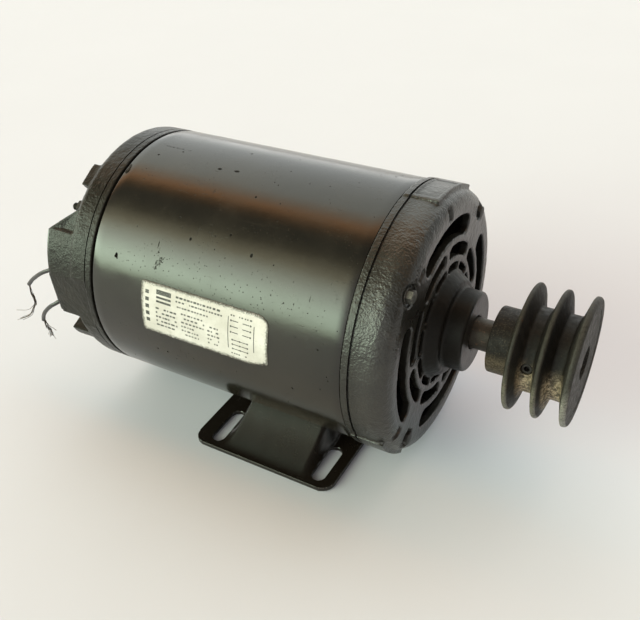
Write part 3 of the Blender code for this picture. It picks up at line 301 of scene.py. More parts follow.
def iron_pulley():
    """Cast pulley: olive rims with wear, rust dust in the grooves, speckled hub; rims, grooves and hub are painted
    lighter on the lower side as floor-bounce light, and the second flange is painted darker on top as shade.
    """
    g = Graph("worn_cast_iron", 0.55, 0.1, (0.05, 0.045, 0.035))
    vec, x, turn, r = g.wrap()
    fine = g.noise(0.9, 5.0, 0.7)
    mid = g.noise(0.22, 4.0, 0.65)
    base = g.mix(g.step(mid, 0.35, 0.7), (0.0085, 0.0075, 0.0060), (0.020, 0.0175, 0.0140))
    rim = g.step(r, 36.0, 37.3)
    rim_col = g.mix(g.step(fine, 0.35, 0.65), (0.085, 0.078, 0.056), (0.16, 0.15, 0.115))
    rim_col = g.mix(g.step(x, 148.0, 160.0), rim_col, g.mix(g.step(fine, 0.35, 0.65), (0.12, 0.115, 0.095), (0.24, 0.23, 0.20)))
    # painted light: the rims' lighter colour is strong on the lower camera side, lit from the floor, and faint on top
    rims_lit_below = g.step(turn, math.radians(-72.0), math.radians(-106.0), 0.12, 1.45)
    rim = g.math("MULTIPLY", g.math("MULTIPLY", rim, rims_lit_below), g.step(g.noise(0.5, 5.0, 0.7), 0.25, 0.50))
    base = g.mix(rim, base, rim_col)
    second = g.step(x, 132.0, 138.0)
    low = g.math("MULTIPLY", g.step(g.math("SUBTRACT", r, g.math("MULTIPLY", second, 3.5)), 30.5, 25.6), g.step(r, 21.5, 24.5))
    # tan low in the grooves: rust dust, kept to the lower side as painted floor-bounce light
    grooves_lit_below = g.step(turn, math.radians(-62.0), math.radians(-92.0), 0.05, 1.0)
    tan = g.mix(g.step(fine, 0.38, 0.62), (0.120, 0.085, 0.046), (0.35, 0.268, 0.165))
    tan = g.mix(second, tan, g.mix(g.step(fine, 0.38, 0.62), (0.20, 0.152, 0.092), (0.53, 0.435, 0.30)))
    base = g.mix(g.math("MULTIPLY", g.math("MULTIPLY", low, grooves_lit_below), g.step(g.noise(0.35, 5.0, 0.7), 0.40, 0.58, 0.20, 1.0)), base, tan)
    # painted shade: the second flange's grooves and sides darker on the upper side
    flange_top_shade = g.math("MULTIPLY", g.math("MULTIPLY", second, g.step(r, 37.0, 36.0)), g.math("SUBTRACT", 1.0, g.step(turn, math.radians(-70.0), math.radians(-94.0))))
    base = g.mix(g.math("MULTIPLY", flange_top_shade, 0.75), base, (0.0035, 0.0030, 0.0024))
    hub = g.step(r, 23.0, 21.0)
    speck = g.step(g.noise(1.1, 4.0, 0.75), 0.52, 0.64)
    hub_col = g.mix(speck, (0.0085, 0.0065, 0.0048), (0.045, 0.035, 0.024))
    # painted light: the hub's lower side lighter tan, as light from the floor
    hub_lit_below = g.step(turn, math.radians(-74.0), math.radians(-96.0))
    hub_col = g.mix(g.math("MULTIPLY", hub_lit_below, g.step(fine, 0.40, 0.60, 0.25, 0.9)), hub_col, (0.130, 0.100, 0.064))
    base = g.mix(hub, base, hub_col)
    dust = g.step(g.noise(0.6, 5.0, 0.75), 0.58, 0.74)
    base = g.mix(g.math("MULTIPLY", dust, 0.25), base, (0.14, 0.12, 0.085))
    rust = g.step(g.noise(0.12, 5.0, 0.75), 0.62, 0.72)
    base = g.mix(g.math("MULTIPLY", rust, 0.45), base, (0.075, 0.032, 0.012))
    pit = g.step(g.cells(0.55), 0.16, 0.08)
    base = g.mix(g.math("MULTIPLY", pit, 0.55), base, (0.010, 0.008, 0.006))
    g.set("Base Color", base)
    face = g.math("MULTIPLY", g.step(x, 159.0, 160.2), g.step(r, 36.9, 36.2))
    base = g.mix(face, base, g.mix(speck, (0.016, 0.0145, 0.012), (0.060, 0.055, 0.045)))
    g.set("Base Color", base)
    g.set("Specular IOR Level", 0.24)
    g.set("Metallic", g.math("MULTIPLY", rim, 0.15))
    g.set("Roughness", g.math("SUBTRACT", g.step(mid, 0.3, 0.7, 0.48, 0.70), g.math("MULTIPLY", rim, 0.12)))
    g.bump((mid, 0.12), (g.noise(0.8, 4.0, 0.7), 0.12), (g.math("MULTIPLY", pit, -1.0), 0.06))
    return g.mat


def steel(name, colour, rough, grain=(0.05, 3.0, 3.0), rusty=0.0, metal=1.0, dirt=(0.05, 0.04, 0.03), dark_behind=None):
    g = Graph(name, rough, metal, colour)
    line = g.noise(1.0, 3.0, 0.6, g.stretch(*grain))
    spots = g.noise(0.18, 5.0, 0.7)
    dark = tuple(c * 0.62 for c in colour)
    base = g.mix(g.step(line, 0.3, 0.7), dark, colour)
    base = g.mix(g.math("MULTIPLY", g.step(spots, 0.50, 0.72), 0.55), base, dirt)
    if rusty:
        rust = g.step(g.noise(0.35, 5.0, 0.75), 0.70 - 0.25 * rusty, 0.82 - 0.25 * rusty)
        base = g.mix(g.math("MULTIPLY", rust, 0.85), base, (0.12, 0.052, 0.02))
        g.set("Metallic", g.math("SUBTRACT", metal, g.math("MULTIPLY", rust, 0.7)))
    if dark_behind is not None:
        base = g.mix(g.step(g.xyz()[0], dark_behind + 4.0, dark_behind - 4.0), base, (0.014, 0.013, 0.011))
    g.set("Base Color", base)
    g.set("Roughness", g.math("ADD", g.step(spots, 0.3, 0.75, rough * 0.85, min(0.9, rough * 1.35)), g.math("MULTIPLY", line, 0.06)))
    g.bump((spots, 0.04), (line, 0.015))
    return g.mat


def lamination():
    g = Graph("stacked_laminations", 0.5, 0.85, (0.16, 0.15, 0.15))
    x, y, z = g.xyz()
    wave = g.math("SINE", g.math("MULTIPLY", x, 2 * math.pi / 0.65))
    base = g.mix(g.step(wave, -0.4, 0.6), (0.05, 0.048, 0.05), (0.22, 0.21, 0.20))
    rust = g.step(g.noise(0.15, 5.0, 0.7), 0.55, 0.72)
    base = g.mix(g.math("MULTIPLY", rust, 0.6), base, (0.13, 0.06, 0.025))
    g.set("Base Color", base)
    g.set("Roughness", g.step(rust, 0, 1, 0.42, 0.75))
    g.bump((wave, 0.03), (g.noise(0.8, 3.0, 0.6), 0.02))
    return g.mat


def copper_wire():
    g = Graph("varnished_winding", 0.32, 0.55, (0.32, 0.12, 0.045))
    vec, x, turn, r = g.wrap()
    a = g.math("SINE", g.math("ADD", g.math("MULTIPLY", r, 2 * math.pi / 1.1), g.math("MULTIPLY", g.noise(0.08, 2.0, 0.5), 9.0)))
    b = g.math("SINE", g.math("ADD", g.math("MULTIPLY", x, 2 * math.pi / 1.1), g.math("MULTIPLY", g.noise(0.08, 2.0, 0.5), 9.0)))
    lines = g.math("MULTIPLY", g.math("ADD", a, b), 0.5)
    base = g.mix(g.step(lines, -0.5, 0.6), (0.10, 0.028, 0.010), (0.42, 0.165, 0.06))
    soot = g.step(g.noise(0.06, 4.0, 0.65), 0.5, 0.72)
    base = g.mix(g.math("MULTIPLY", soot, 0.7), base, (0.035, 0.022, 0.014))
    g.set("Base Color", base)
    g.set("Roughness", g.step(soot, 0, 1, 0.26, 0.6))
    g.bump((lines, 0.22), (g.noise(0.6, 3.0, 0.6), 0.03))
    return g.mat


def moulded(name, colour, rough=0.6, light=None):
    g = Graph(name, rough, 0.0, colour)
    light = light or tuple(min(1.0, c * 2.2 + 0.02) for c in colour)
    cloud = g.noise(0.12, 4.0, 0.65)
    base = g.mix(g.math("MULTIPLY", g.step(cloud, 0.45, 0.8), 0.6), colour, light)
    speck = g.step(g.cells(0.5), 0.10, 0.05)
    base = g.mix(g.math("MULTIPLY", speck, 0.4), base, tuple(min(1.0, c * 3 + 0.05) for c in colour))
    g.set("Base Color", base)
    g.set("Roughness", g.step(cloud, 0.3, 0.75, rough * 0.85, min(0.95, rough * 1.15)))
    g.bump((g.noise(0.5, 3.0, 0.6), 0.04), (g.noise(2.2, 2.0, 0.5), 0.01))
    return g.mat


def label_foil():
    g = Graph("aged_label", 0.5, 0.0, (0.52, 0.50, 0.43))
    attr = g.new("ShaderNodeAttribute", attribute_name="rim")
    rim = attr.outputs["Fac"]
    cloud = g.noise(0.05, 4.0, 0.6)
    base = g.mix(g.step(cloud, 0.35, 0.7), (0.56, 0.522, 0.480), (0.70, 0.662, 0.630))
    stain = g.step(g.noise(0.13, 5.0, 0.7), 0.56, 0.74)
    base = g.mix(g.math("MULTIPLY", stain, 0.35), base, (0.31, 0.28, 0.21))
    near = g.step(rim, 3.4, 0.2)
    speckle = g.step(g.math("ADD", g.noise(1.3, 4.0, 0.75), g.math("MULTIPLY", near, 0.22)), 0.60, 0.68)
    base = g.mix(g.math("MULTIPLY", speckle, g.math("ADD", 0.25, g.math("MULTIPLY", near, 0.7))), base, (0.06, 0.055, 0.045))
    fleck = g.step(g.cells(0.55), 0.11, 0.06)
    base = g.mix(g.math("MULTIPLY", fleck, 0.5), base, (0.16, 0.15, 0.12))
    scratch = g.step(g.noise(1.0, 1.0, 0.4, g.stretch(0.10, 1.5, 1.5), 0.7), 0.74, 0.77)
    base = g.mix(g.math("MULTIPLY", scratch, 0.5), base, (0.30, 0.28, 0.23))
    g.set("Base Color", base)
    g.set("Specular IOR Level", 0.3)
    g.set("Roughness", g.step(cloud, 0.3, 0.7, 0.42, 0.58))
    g.bump((g.noise(0.12, 3.0, 0.5), 0.05), (speckle, -0.02))
    return g.mat


def ink():
    g = Graph("label_print", 0.5, 0.0, (0.035, 0.035, 0.033))
    wear = g.step(g.noise(1.6, 4.0, 0.75), 0.50, 0.68)
    g.set("Base Color", g.mix(g.math("MULTIPLY", wear, 0.75), (0.030, 0.030, 0.028), (0.36, 0.35, 0.30)))
    g.bump((wear, 0.01))
    return g.mat


def strands():
    g = Graph("bare_frayed_strands", 0.5, 0.35, (0.10, 0.08, 0.06))
    tint = g.noise(0.35, 3.0, 0.6)
    base = g.mix(g.step(tint, 0.35, 0.65), (0.045, 0.036, 0.029), (0.11, 0.092, 0.075))
    oxide = g.step(g.noise(0.8, 4.0, 0.7), 0.55, 0.72)
    base = g.mix(g.math("MULTIPLY", oxide, 0.6), base, (0.055, 0.040, 0.030))
    g.set("Base Color", base)
    g.set("Roughness", g.step(oxide, 0, 1, 0.32, 0.6))
    g.bump((g.noise(2.0, 3.0, 0.6), 0.02))
    return g.mat


MAT = {
    "shell": paint_shell(), "cast": paint_cast(), "gloss": paint_gloss(), "pulley": iron_pulley(),
    "shaft": steel("browned_shaft_steel", (0.050, 0.041, 0.031), 0.45, rusty=0.5, metal=0.5, dirt=(0.018, 0.014, 0.010)),
    "bearing": steel("ground_bearing_steel", (0.52, 0.51, 0.49), 0.24, (0.3, 0.3, 0.3)),
    "plated": steel("plated_fastener_steel", (0.19, 0.185, 0.17), 0.48, (0.5, 0.5, 0.5), rusty=0.35, dark_behind=-60.0),
    "painted_bolt": steel("painted_over_bolt_head", (0.022, 0.021, 0.018), 0.46, (0.5, 0.5, 0.5), metal=0.2, dirt=(0.012, 0.011, 0.009)),
    "dark": steel("blackened_steel", (0.05, 0.047, 0.043), 0.5, (0.5, 0.5, 0.5), rusty=0.3, metal=0.7),
    "lam": lamination(), "copper": copper_wire(),
    "alu": steel("cast_aluminium_cage", (0.46, 0.46, 0.45), 0.5, (0.4, 0.4, 0.4), metal=0.9, dirt=(0.12, 0.12, 0.11)),
    "baffle": moulded("moulded_baffle", (0.022, 0.022, 0.024), 0.55),
    "phenolic": moulded("phenolic_board", (0.060, 0.026, 0.012), 0.5),
    "brass": steel("tarnished_brass", (0.48, 0.32, 0.12), 0.36, (0.6, 0.6, 0.6), dirt=(0.09, 0.06, 0.03)),
    "rubber": moulded("black_rubber", (0.012, 0.012, 0.012), 0.72),
    "lead": moulded("lead_insulation", (0.010, 0.010, 0.010), 0.38, (0.05, 0.045, 0.04)),
    "label": label_foil(), "ink": ink(), "strand": strands(),
}
FINISH = {
    "frame_shell": "shell", "terminal_cover": "shell", "front_end_shield": "cast", "rear_end_shield": "cast", "foot_base": "gloss",
    "stator_core": "lam", "rotor_core": "lam", "stator_winding": "copper", "rotor_cage": "alu", "front_air_baffle": "baffle",
    "rear_air_baffle": "baffle", "terminal_board": "phenolic", "lead_grommet": "rubber", "inner_lead_1": "lead", "inner_lead_2": "lead",
    "ground_screw": "brass", "nameplate": "label", "pulley": "pulley", "shaft": "shaft", "pulley_key": "dark", "pulley_set_screw": "dark",
    "bearing_retainer": "plated", "lead_wire_1": "lead", "lead_wire_2": "lead", "lead_strands_1": "strand", "lead_strands_2": "strand",
}
for name, obj in NODES.items():
    key = FINISH.get(name)
    if key is None:
        key = "brass" if "stud" in name else "bearing" if "bearing" in name and "screw" not in name else "dark" if "nut" in name else "plated"
    obj.data.materials.clear()
    obj.data.materials.append(MAT[key])


# ================================================================ mesh building blocks (mm, motor measures)
TO_ROW = Matrix.Translation(P(0, 0, 0)) @ Matrix.Scale(MM, 4)


def plain(name, bm, sharp=30.0, weld=0.0005):
    if weld:
        bmesh.ops.remove_doubles(bm, verts=bm.verts, dist=weld)
    bmesh.ops.recalc_face_normals(bm, faces=bm.faces)
    bmesh.ops.transform(bm, matrix=TO_ROW, verts=bm.verts)
    mesh = bpy.data.meshes.new(name)
    bm.to_mesh(mesh)
    bm.free()
    mesh.shade_smooth()
    if sharp:
        mesh.set_sharp_from_angle(angle=math.radians(sharp))
    obj = bpy.data.objects.new(name, mesh)
    scene.collection.objects.link(obj)
    return obj


def boolean(obj, cutter, operation="DIFFERENCE"):
    mod = obj.modifiers.new("cut", "BOOLEAN")
    mod.operation, mod.object = operation, cutter
    return mod


def bake(obj, *cutters):
    """Keep the shape that the modifiers make, and remove them and their cutters."""
    graph = bpy.context.evaluated_depsgraph_get()
    mesh = bpy.data.meshes.new_from_object(obj.evaluated_get(graph))
    obj.modifiers.clear()
    old, obj.data = obj.data, mesh
    mesh.name = obj.name
    bpy.data.meshes.remove(old)
    for c in cutters:
        bpy.data.objects.remove(c, do_unlink=True)
    return obj


def piece(obj, mat, body, slot=None, *replaced):
    obj.data.materials.clear()
    obj.data.materials.append(MAT[mat])
    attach(obj, body)
    if replaced:
        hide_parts(*replaced)
    return obj


def filleted(profile, steps=4):
    """Rounds each corner (x, r, fillet) of a closed outline with a quarter-like arc."""
    out = []
    n = len(profile)
    for i in range(n):
        cur = profile[i]
        fillet = cur[2] if len(cur) > 2 else 0.0
        p = Vector((cur[0], cur[1]))
        a = Vector(profile[i - 1][:2])
        b = Vector(profile[(i + 1) % n][:2])
        if fillet <= 0:
            out.append((p.x, p.y))
            continue
        da, db = (a - p), (b - p)
        d = min(fillet, da.length * 0.45, db.length * 0.45)
        pa, pb = p + da.normalized() * d, p + db.normalized() * d
        for k in range(steps + 1):
            t = k / steps
            q = pa * (1 - t) ** 2 + p * 2 * t * (1 - t) + pb * t * t
            out.append((q.x, q.y))
    return out


def lathe(profile, seg=128, bm=None, centre=(0.0, 0.0), turn=0.0, wobble=None):
    bm = bm or bmesh.new()
    rings = []
    for x, r in profile:
        if r < 1e-6:
            rings.append([bm.verts.new((x, centre[0], centre[1]))] * seg)
            continue
        ring = []
        for k in range(seg):
            a = math.radians(turn) + 2 * math.pi * k / seg
            rr = r + (wobble(x, r, a) if wobble else 0.0)
            ring.append(bm.verts.new((x, centre[0] + rr * math.cos(a), centre[1] + rr * math.sin(a))))
        rings.append(ring)
    n = len(profile)
    for i in range(n):
        a, b = rings[i], rings[(i + 1) % n]
        if a[0] is a[1] and b[0] is b[1]:
            continue
        for k in range(seg):
            m = (k + 1) % seg
            face = []
            for v in (a[k], a[m], b[m], b[k]):
                if v not in face:
                    face.append(v)
            if len(face) > 2:
                bm.faces.new(face)
    return bm


BOX_X, BOX_TILT, BOX_MID_Z, BOX_TOP_Z, BOX_LOW_Z, BOX_IN_Y = -217.9, 0.079, 13.0, 43.2, -14.2, -34.0


def prism(outline, x0, x1, bm=None, lean=0.0):
    bm = bm or bmesh.new()
    ends = [[bm.verts.new((x - lean * (z - BOX_MID_Z), y, z)) for y, z in outline] for x in (x0, x1)]
    bm.faces.new(ends[0])
    bm.faces.new(list(reversed(ends[1])))
    n = len(outline)
    for i in range(n):
        j = (i + 1) % n
        bm.faces.new((ends[0][i], ends[0][j], ends[1][j], ends[1][i]))
    return bm


def flat_prism(outline, z0, z1, bm=None):
    bm = bm or bmesh.new()
    low = [bm.verts.new((x, y, z0)) for x, y in outline]
    top = [bm.verts.new((x, y, z1)) for x, y in outline]
    bm.faces.new(list(reversed(low)))
    bm.faces.new(top)
    n = len(outline)
    for i in range(n):
        j = (i + 1) % n
        bm.faces.new((low[i], low[j], top[j], top[i]))
    return bm


def polar(r, deg):
    a = math.radians(deg)
    return (r * math.cos(a), r * math.sin(a))


def arc_slot(r0, r1, a0, a1, corner, steps=6, cut=3.0):
    rm = (r0 + r1) / 2
    half_a, half_r = math.radians(a1 - a0) / 2 * rm, (r1 - r0) / 2
    corner = min(corner, half_r * 0.999, half_a * 0.999)
    am = (a0 + a1) / 2
    points = []
    for cs, cr, start in ((1, 1, 0), (-1, 1, 90), (-1, -1, 180), (1, -1, 270)):
        cx, cy = cs * (half_a - corner), cr * (half_r - corner)
        for k in range(steps + 1):
            t = math.radians(start + 90.0 * k / steps)
            points.append((cx + corner * math.cos(t), cy + corner * math.sin(t)))
    full = []
    for i, (s, r) in enumerate(points):
        s2, r2 = points[(i + 1) % len(points)]
        full.append((s, r))
        if abs(s2 - s) > 2 * math.radians(cut) * rm and abs(r2 - r) < 1e-6:
            parts = int(abs(s2 - s) / (math.radians(cut) * rm))
            for k in range(1, parts):
                full.append((s + (s2 - s) * k / parts, r))
    return [polar(rm + r, am + math.degrees(s / rm)) for s, r in full]


def stadium(cy, cz, width, length, steps=10):
    r, half = width / 2, (length - width) / 2
    points = []
    for k in range(steps + 1):
        a = math.pi * k / steps
        points.append((r * math.cos(a), half + r * math.sin(a)))
    for k in range(steps + 1):
        a = math.pi + math.pi * k / steps
        points.append((r * math.cos(a), -half + r * math.sin(a)))
    return [(cy + u, cz + v) for u, v in points]


def rounded(cx, cy, lx, ly, r, steps=8):
    points = []
    for sx, sy, start in ((1, 1, 0), (-1, 1, 90), (-1, -1, 180), (1, -1, 270)):
        for k in range(steps + 1):
            a = math.radians(start + 90.0 * k / steps)
            points.append((cx + sx * (lx / 2 - r) + r * math.cos(a), cy + sy * (ly / 2 - r) + r * math.sin(a)))
    return points


def polygon(radius, sides, centre=(0.0, 0.0), turn=0.0):
    return [(centre[0] + radius * math.cos(math.radians(turn) + 2 * math.pi * k / sides),
             centre[1] + radius * math.sin(math.radians(turn) + 2 * math.pi * k / sides)) for k in range(sides)]


def sector(r0, r1, a0, a1, per=2.0):
    steps = max(2, int(abs(a1 - a0) / per))
    return [polar(r1, a0 + (a1 - a0) * k / steps) for k in range(steps + 1)] + [polar(r0, a1 - (a1 - a0) * k / steps) for k in range(steps + 1)]


def voxelled(obj, voxel, smooth=3, factor=0.5):
    m = obj.modifiers.new("voxels", "REMESH")
    m.mode, m.voxel_size, m.adaptivity = "VOXEL", voxel * MM, 0.0
    s = obj.modifiers.new("soften", "SMOOTH")
    s.factor, s.iterations = factor, smooth
    return obj


def ring_cut(obj, x0, x1, r0, deep=88.0):
    """A clean groove turned into a cast rim."""
    cutter = plain("ring", lathe([(x0, r0), (x1, r0), (x1, deep), (x0, deep)], 192), 30)
    boolean(obj, cutter)
    bake(obj, cutter)


def read(mesh):
    n = len(mesh.vertices)
    co, no = np.empty(n * 3, np.float32), np.empty(n * 3, np.float32)
    mesh.vertices.foreach_get("co", co)
    mesh.vertex_normals.foreach_get("vector", no)
    co = co.reshape(-1, 3).astype(np.float64) * 1000.0 - np.array((X0, 0.0, SHAFT_H))
    return co, no.reshape(-1, 3).astype(np.float64)


def write(mesh, co):
    out = (co + np.array((X0, 0.0, SHAFT_H))) * MM
    mesh.vertices.foreach_set("co", out.astype(np.float32).ravel())
    mesh.update()


def sand(obj, layers, mask=None):
    """Moves the points along their normals by noise: layers of (size in mm, height in mm)."""
    co, no = read(obj.data)
    amount = np.zeros(len(co))
    for i, (size, height) in enumerate(layers):
        k = 1.0 / size
        off = Vector((17.3 * i, 5.1 * i, 9.7 * i))
        amount += height * np.array([noise.noise(Vector(p) * k + off) for p in co])
    if mask is not None:
        amount *= mask(co, no)
    write(obj.data, co + no * amount[:, None])
    return obj


VOX = 0.72

# ================================================================ leads first: free cords with frayed ends
xg = BOX_X - GAP - 1.2
LEAD_R, LEAD_Y, LEAD_Z = 1.4, -74.9, (13.3, -8.6)
LEAD_EXIT_X = [xg - 2.0 - BOX_TILT * (z - BOX_MID_Z) for z in LEAD_Z]
LEAD_1 = [(LEAD_EXIT_X[0], LEAD_Y, LEAD_Z[0]), (LEAD_EXIT_X[0] - 2.4, LEAD_Y - 0.3, LEAD_Z[0] - 0.2), (-232.0, -75.6, 8.9), (-240.9, -74.0, 2.8), (-249.6, -72.0, -4.0), (-256.6, -70.2, -10.4)]
LEAD_2 = [(LEAD_EXIT_X[1], LEAD_Y, LEAD_Z[1]), (LEAD_EXIT_X[1] - 1.4, LEAD_Y - 1.0, LEAD_Z[1] - 1.4), (-226.0, -77.6, -13.4), (-230.1, -77.6, -16.2), (-236.8, -76.5, -21.9), (-242.9, -74.8, -27.8), (-247.5, -73.0, -33.3), (-250.6, -71.6, -38.2)]
FRAY_1 = [(-256.2, -70.3, -10.0), (-257.7, -70.0, -18.3), (-256.5, -70.0, -22.6), (-256.6, -70.2, -27.0), (-260.3, -70.8, -33.4), (-264.4, -71.6, -38.8), (-272.0, -73.6, -42.9)]
FRAY_2 = [(-250.3, -71.7, -37.8), (-249.7, -71.0, -44.6), (-248.2, -70.5, -48.0), (-248.5, -70.0, -53.0)]


def smooth_route(points, spacing):
    pts = [Vector(p) for p in points]
    pts = [pts[0] * 2 - pts[1]] + pts + [pts[-1] * 2 - pts[-2]]
    fine = []
    for i in range(1, len(pts) - 2):
        p0, p1, p2, p3 = pts[i - 1:i + 3]
        for k in range(24):
            t = k / 24
            fine.append(0.5 * ((2 * p1) + (p2 - p0) * t + (2 * p0 - 5 * p1 + 4 * p2 - p3) * t * t + (3 * p1 - p0 - 3 * p2 + p3) * t ** 3))
    fine.append(pts[-2])
    total = sum((b - a).length for a, b in zip(fine, fine[1:]))
    count = max(2, round(total / spacing))
    out, walked, target = [fine[0]], 0.0, total / count
    for a, b in zip(fine, fine[1:]):
        step = (b - a).length
        while walked + step >= target * len(out) - 1e-9 and len(out) <= count and step > 0:
            out.append(a.lerp(b, min(1.0, (target * len(out) - walked) / step)))
        walked += step
    return out[:count] + [fine[-1]]


def curve_piece(name, route, radius):
    data = bpy.data.curves.new(name, "CURVE")
    data.dimensions = "3D"
    data.bevel_depth, data.bevel_resolution, data.use_fill_caps = radius * MM, 6, True
    spline = data.splines.new("POLY")
    spline.points.add(len(route) - 1)
    for p, q in zip(spline.points, route):
        p.co = (*P(*q), 1.0)
    obj = bpy.data.objects.new(name, data)
    scene.collection.objects.link(obj)
    return obj


def hair(bm, path, radius, sides=6):
    """A thin round wire along path, added to bm."""
    rings = []
    ref = Vector((0, 1, 0))
    for i, p in enumerate(path):
        d = (path[min(i + 1, len(path) - 1)] - path[max(i - 1, 0)]).normalized()
        u = d.cross(ref)
        u = u.normalized() if u.length > 1e-3 else Vector((1, 0, 0))
        v = d.cross(u).normalized()
        rings.append([bm.verts.new(p + (u * math.cos(a) + v * math.sin(a)) * radius) for a in (2 * math.pi * k / sides for k in range(sides))])
    for a, b in zip(rings, rings[1:]):
        for k in range(sides):
            m = (k + 1) % sides
            bm.faces.new((a[k], a[m], b[m], b[k]))
    bm.faces.new(list(reversed(rings[0])))
    bm.faces.new(rings[-1])


for i, (lead, fray, count) in enumerate(((LEAD_1, FRAY_1, 15), (LEAD_2, FRAY_2, 13))):
    rnd = random.Random(11 + i)
    route = smooth_route(lead, 1.0)
    wire = curve_piece("motor_lead_%d" % (i + 1), route, LEAD_R)
    piece(wire, "lead", "motor_body", "lead_insulation", "lead_wire_%d" % (i + 1))
    bm = bmesh.new()
    core = smooth_route(fray, 0.8)
    n = len(core)
    for k in range(count):
        ang, rad = rnd.uniform(0, 2 * math.pi), 0.85 * math.sqrt(rnd.random())
        stop = n if k < count * 0.6 else int(n * rnd.uniform(0.45, 0.95))
        splay = Vector((rnd.gauss(0, 1), rnd.gauss(0, 0.5), rnd.gauss(0, 0.8))) * rnd.uniform(0.4, 3.2)
        twist = rnd.uniform(0.7, 1.6)
        path = []
        for j in range(stop):
            t = j / (n - 1)
            a = ang + twist * t * 5.0
            spread = 1.0 + 1.1 * t
            q = core[j] + Vector((math.cos(a) * 0.75, math.sin(a), math.cos(a) * 0.6)) * rad * spread * (0.75 + 0.4 * math.sin(9 * t + ang)) + splay * t ** 2.3
            path.append(q)
        hair(bm, path, rnd.uniform(0.15, 0.21))
    fluff = plain("frayed_strands_%d" % (i + 1), bm, sharp=0, weld=0)
    piece(fluff, "strand", "motor_body", "bare_strands", "lead_strands_%d" % (i + 1))

# ================================================================ rolled shell
SHELL_R = 82.55


def shell_wobble(x, r, a):
    return 0.05 * noise.noise(Vector((x * 0.02, math.cos(a) * 1.6, math.sin(a) * 1.6 + 4.0))) if r > 81.5 else 0.0


xs = [-180.2 + 175.2 * k / 30 for k in range(31)]
outer = [(-180.2, 82.0), (-180.05, 82.4), (-179.6, SHELL_R)] + [(x, SHELL_R) for x in xs[1:-1]] + [(-5.6, SHELL_R), (-5.15, 82.4), (-5.0, 82.0)]
shell = plain("rolled_shell", lathe([(-180.2, 80.55)] + outer + [(-5.0, 80.55)], 192, wobble=shell_wobble), 40)
hole = plain("shell_holes", lathe([(0, 0), (0, 1.15), (6, 1.15), (6, 0)], 20), 30)
hole.matrix_world = Matrix.Translation(P(-162.6, *polar(80.0, 148.7))) @ Matrix.Rotation(math.radians(-148.7), 4, "X") @ Matrix.Rotation(math.radians(90), 4, "Z") @ Matrix.Translation(-P(0, 0, 0))
bpy.context.view_layer.update()
boolean(shell, hole)
bake(shell, hole)
shell.data.set_sharp_from_angle(angle=math.radians(40))
piece(shell, "shell", "motor_body", "shell_paint", "frame_shell")
# closing tacks at the rear seam, and one at the front seam
bm = bmesh.new()
for k, (x, a, s) in enumerate(((-178.6, 114.0, 1.0), (-178.9, 111.6, 0.7), (-6.8, 60.0, 0.6))):
    y, z = polar(SHELL_R + 0.05, a)
    bmesh.ops.create_uvsphere(bm, u_segments=18, v_segments=12, radius=1.0, matrix=Matrix.Translation((x, y, z)) @ Matrix.Rotation(math.radians(a), 4, "X") @ Matrix.Diagonal((1.3 * s, 0.45 * s, 2.6 * s, 1.0)))
tacks = plain("seam_tack_welds", bm, 0)
sand(tacks, [(1.2, 0.25)])
piece(tacks, "cast", "motor_body", "cast_paint")

# ================================================================ drive end shield
SHIELD_R, FACE_X = 82.0, 22.5
front = plain("drive_end_shield", lathe(filleted([
    (-11.0, 76.5, 0.3), (-11.0, 80.2, 0.4), (-4.9, 80.2), (-4.9, 82.6, 0.3), (2.0, 82.6),
    (14.0, SHIELD_R + 0.3, 5.0), (20.2, 79.2, 3.0), (FACE_X, 74.5, 2.5), (FACE_X, 33.5, 1.5), (30.0, 28.6, 1.2), (30.3, 24.8, 0.6), (40.8, 24.5, 0.9),
    (42.0, 23.4, 0.6), (42.0, 10.4, 0.3), (24.4, 10.4, 0.3), (24.4, 23.8, 0.2), (9.0, 23.8, 0.4), (9.0, 30.0, 0.8), (17.5, 33.0, 1.0), (17.5, 68.0, 3.0), (8.0, 76.5, 2.0)]), 160), 30)
cuts = []
vents = bmesh.new()
XV0, XV1 = 5.0, 27.0
for k in range(4):
    prism(arc_slot(54.8, 67.2, 90.0 * k - 31.0, 90.0 * k + 31.0, 5.8), XV0, XV1, vents)
for k in range(8):
    a = 45.0 * k + 22.5
    prism(arc_slot(42.6, 50.6, a - 19.5, a + 19.5, 3.6), XV0, XV1, vents)
for k in range(12):
    a = 30.0 * k + 15.0
    prism(arc_slot(33.9, 38.6, a - 12.6, a + 12.6, 2.2), 15.5, 27.0, vents)
cuts.append(plain("c1", vents))
boolean(front, cuts[-1])
pockets = bmesh.new()
for a in (45.0, 135.0, 225.0, 315.0):
    y, z = polar(73.2, a)
    prism(polygon(6.4, 32, (y, z), a), 19.4, 27.0, pockets)
cuts.append(plain("c2", pockets))
boolean(front, cuts[-1])
holes = bmesh.new()
for a in (45.0, 135.0, 225.0, 315.0):
    prism(polygon(2.9, 20, polar(72.0, a), a), 8.0, 27.0, holes)
cuts.append(plain("c3", holes))
boolean(front, cuts[-1])
pads = bmesh.new()
for a0, a1 in ((58.0, 93.5), (208.5, 236.0)):
    prism(sector(79.0, 83.7, a0, a1), -4.2, 17.0, pads)
cuts.append(plain("c4", pads))
boolean(front, cuts[-1], "UNION")
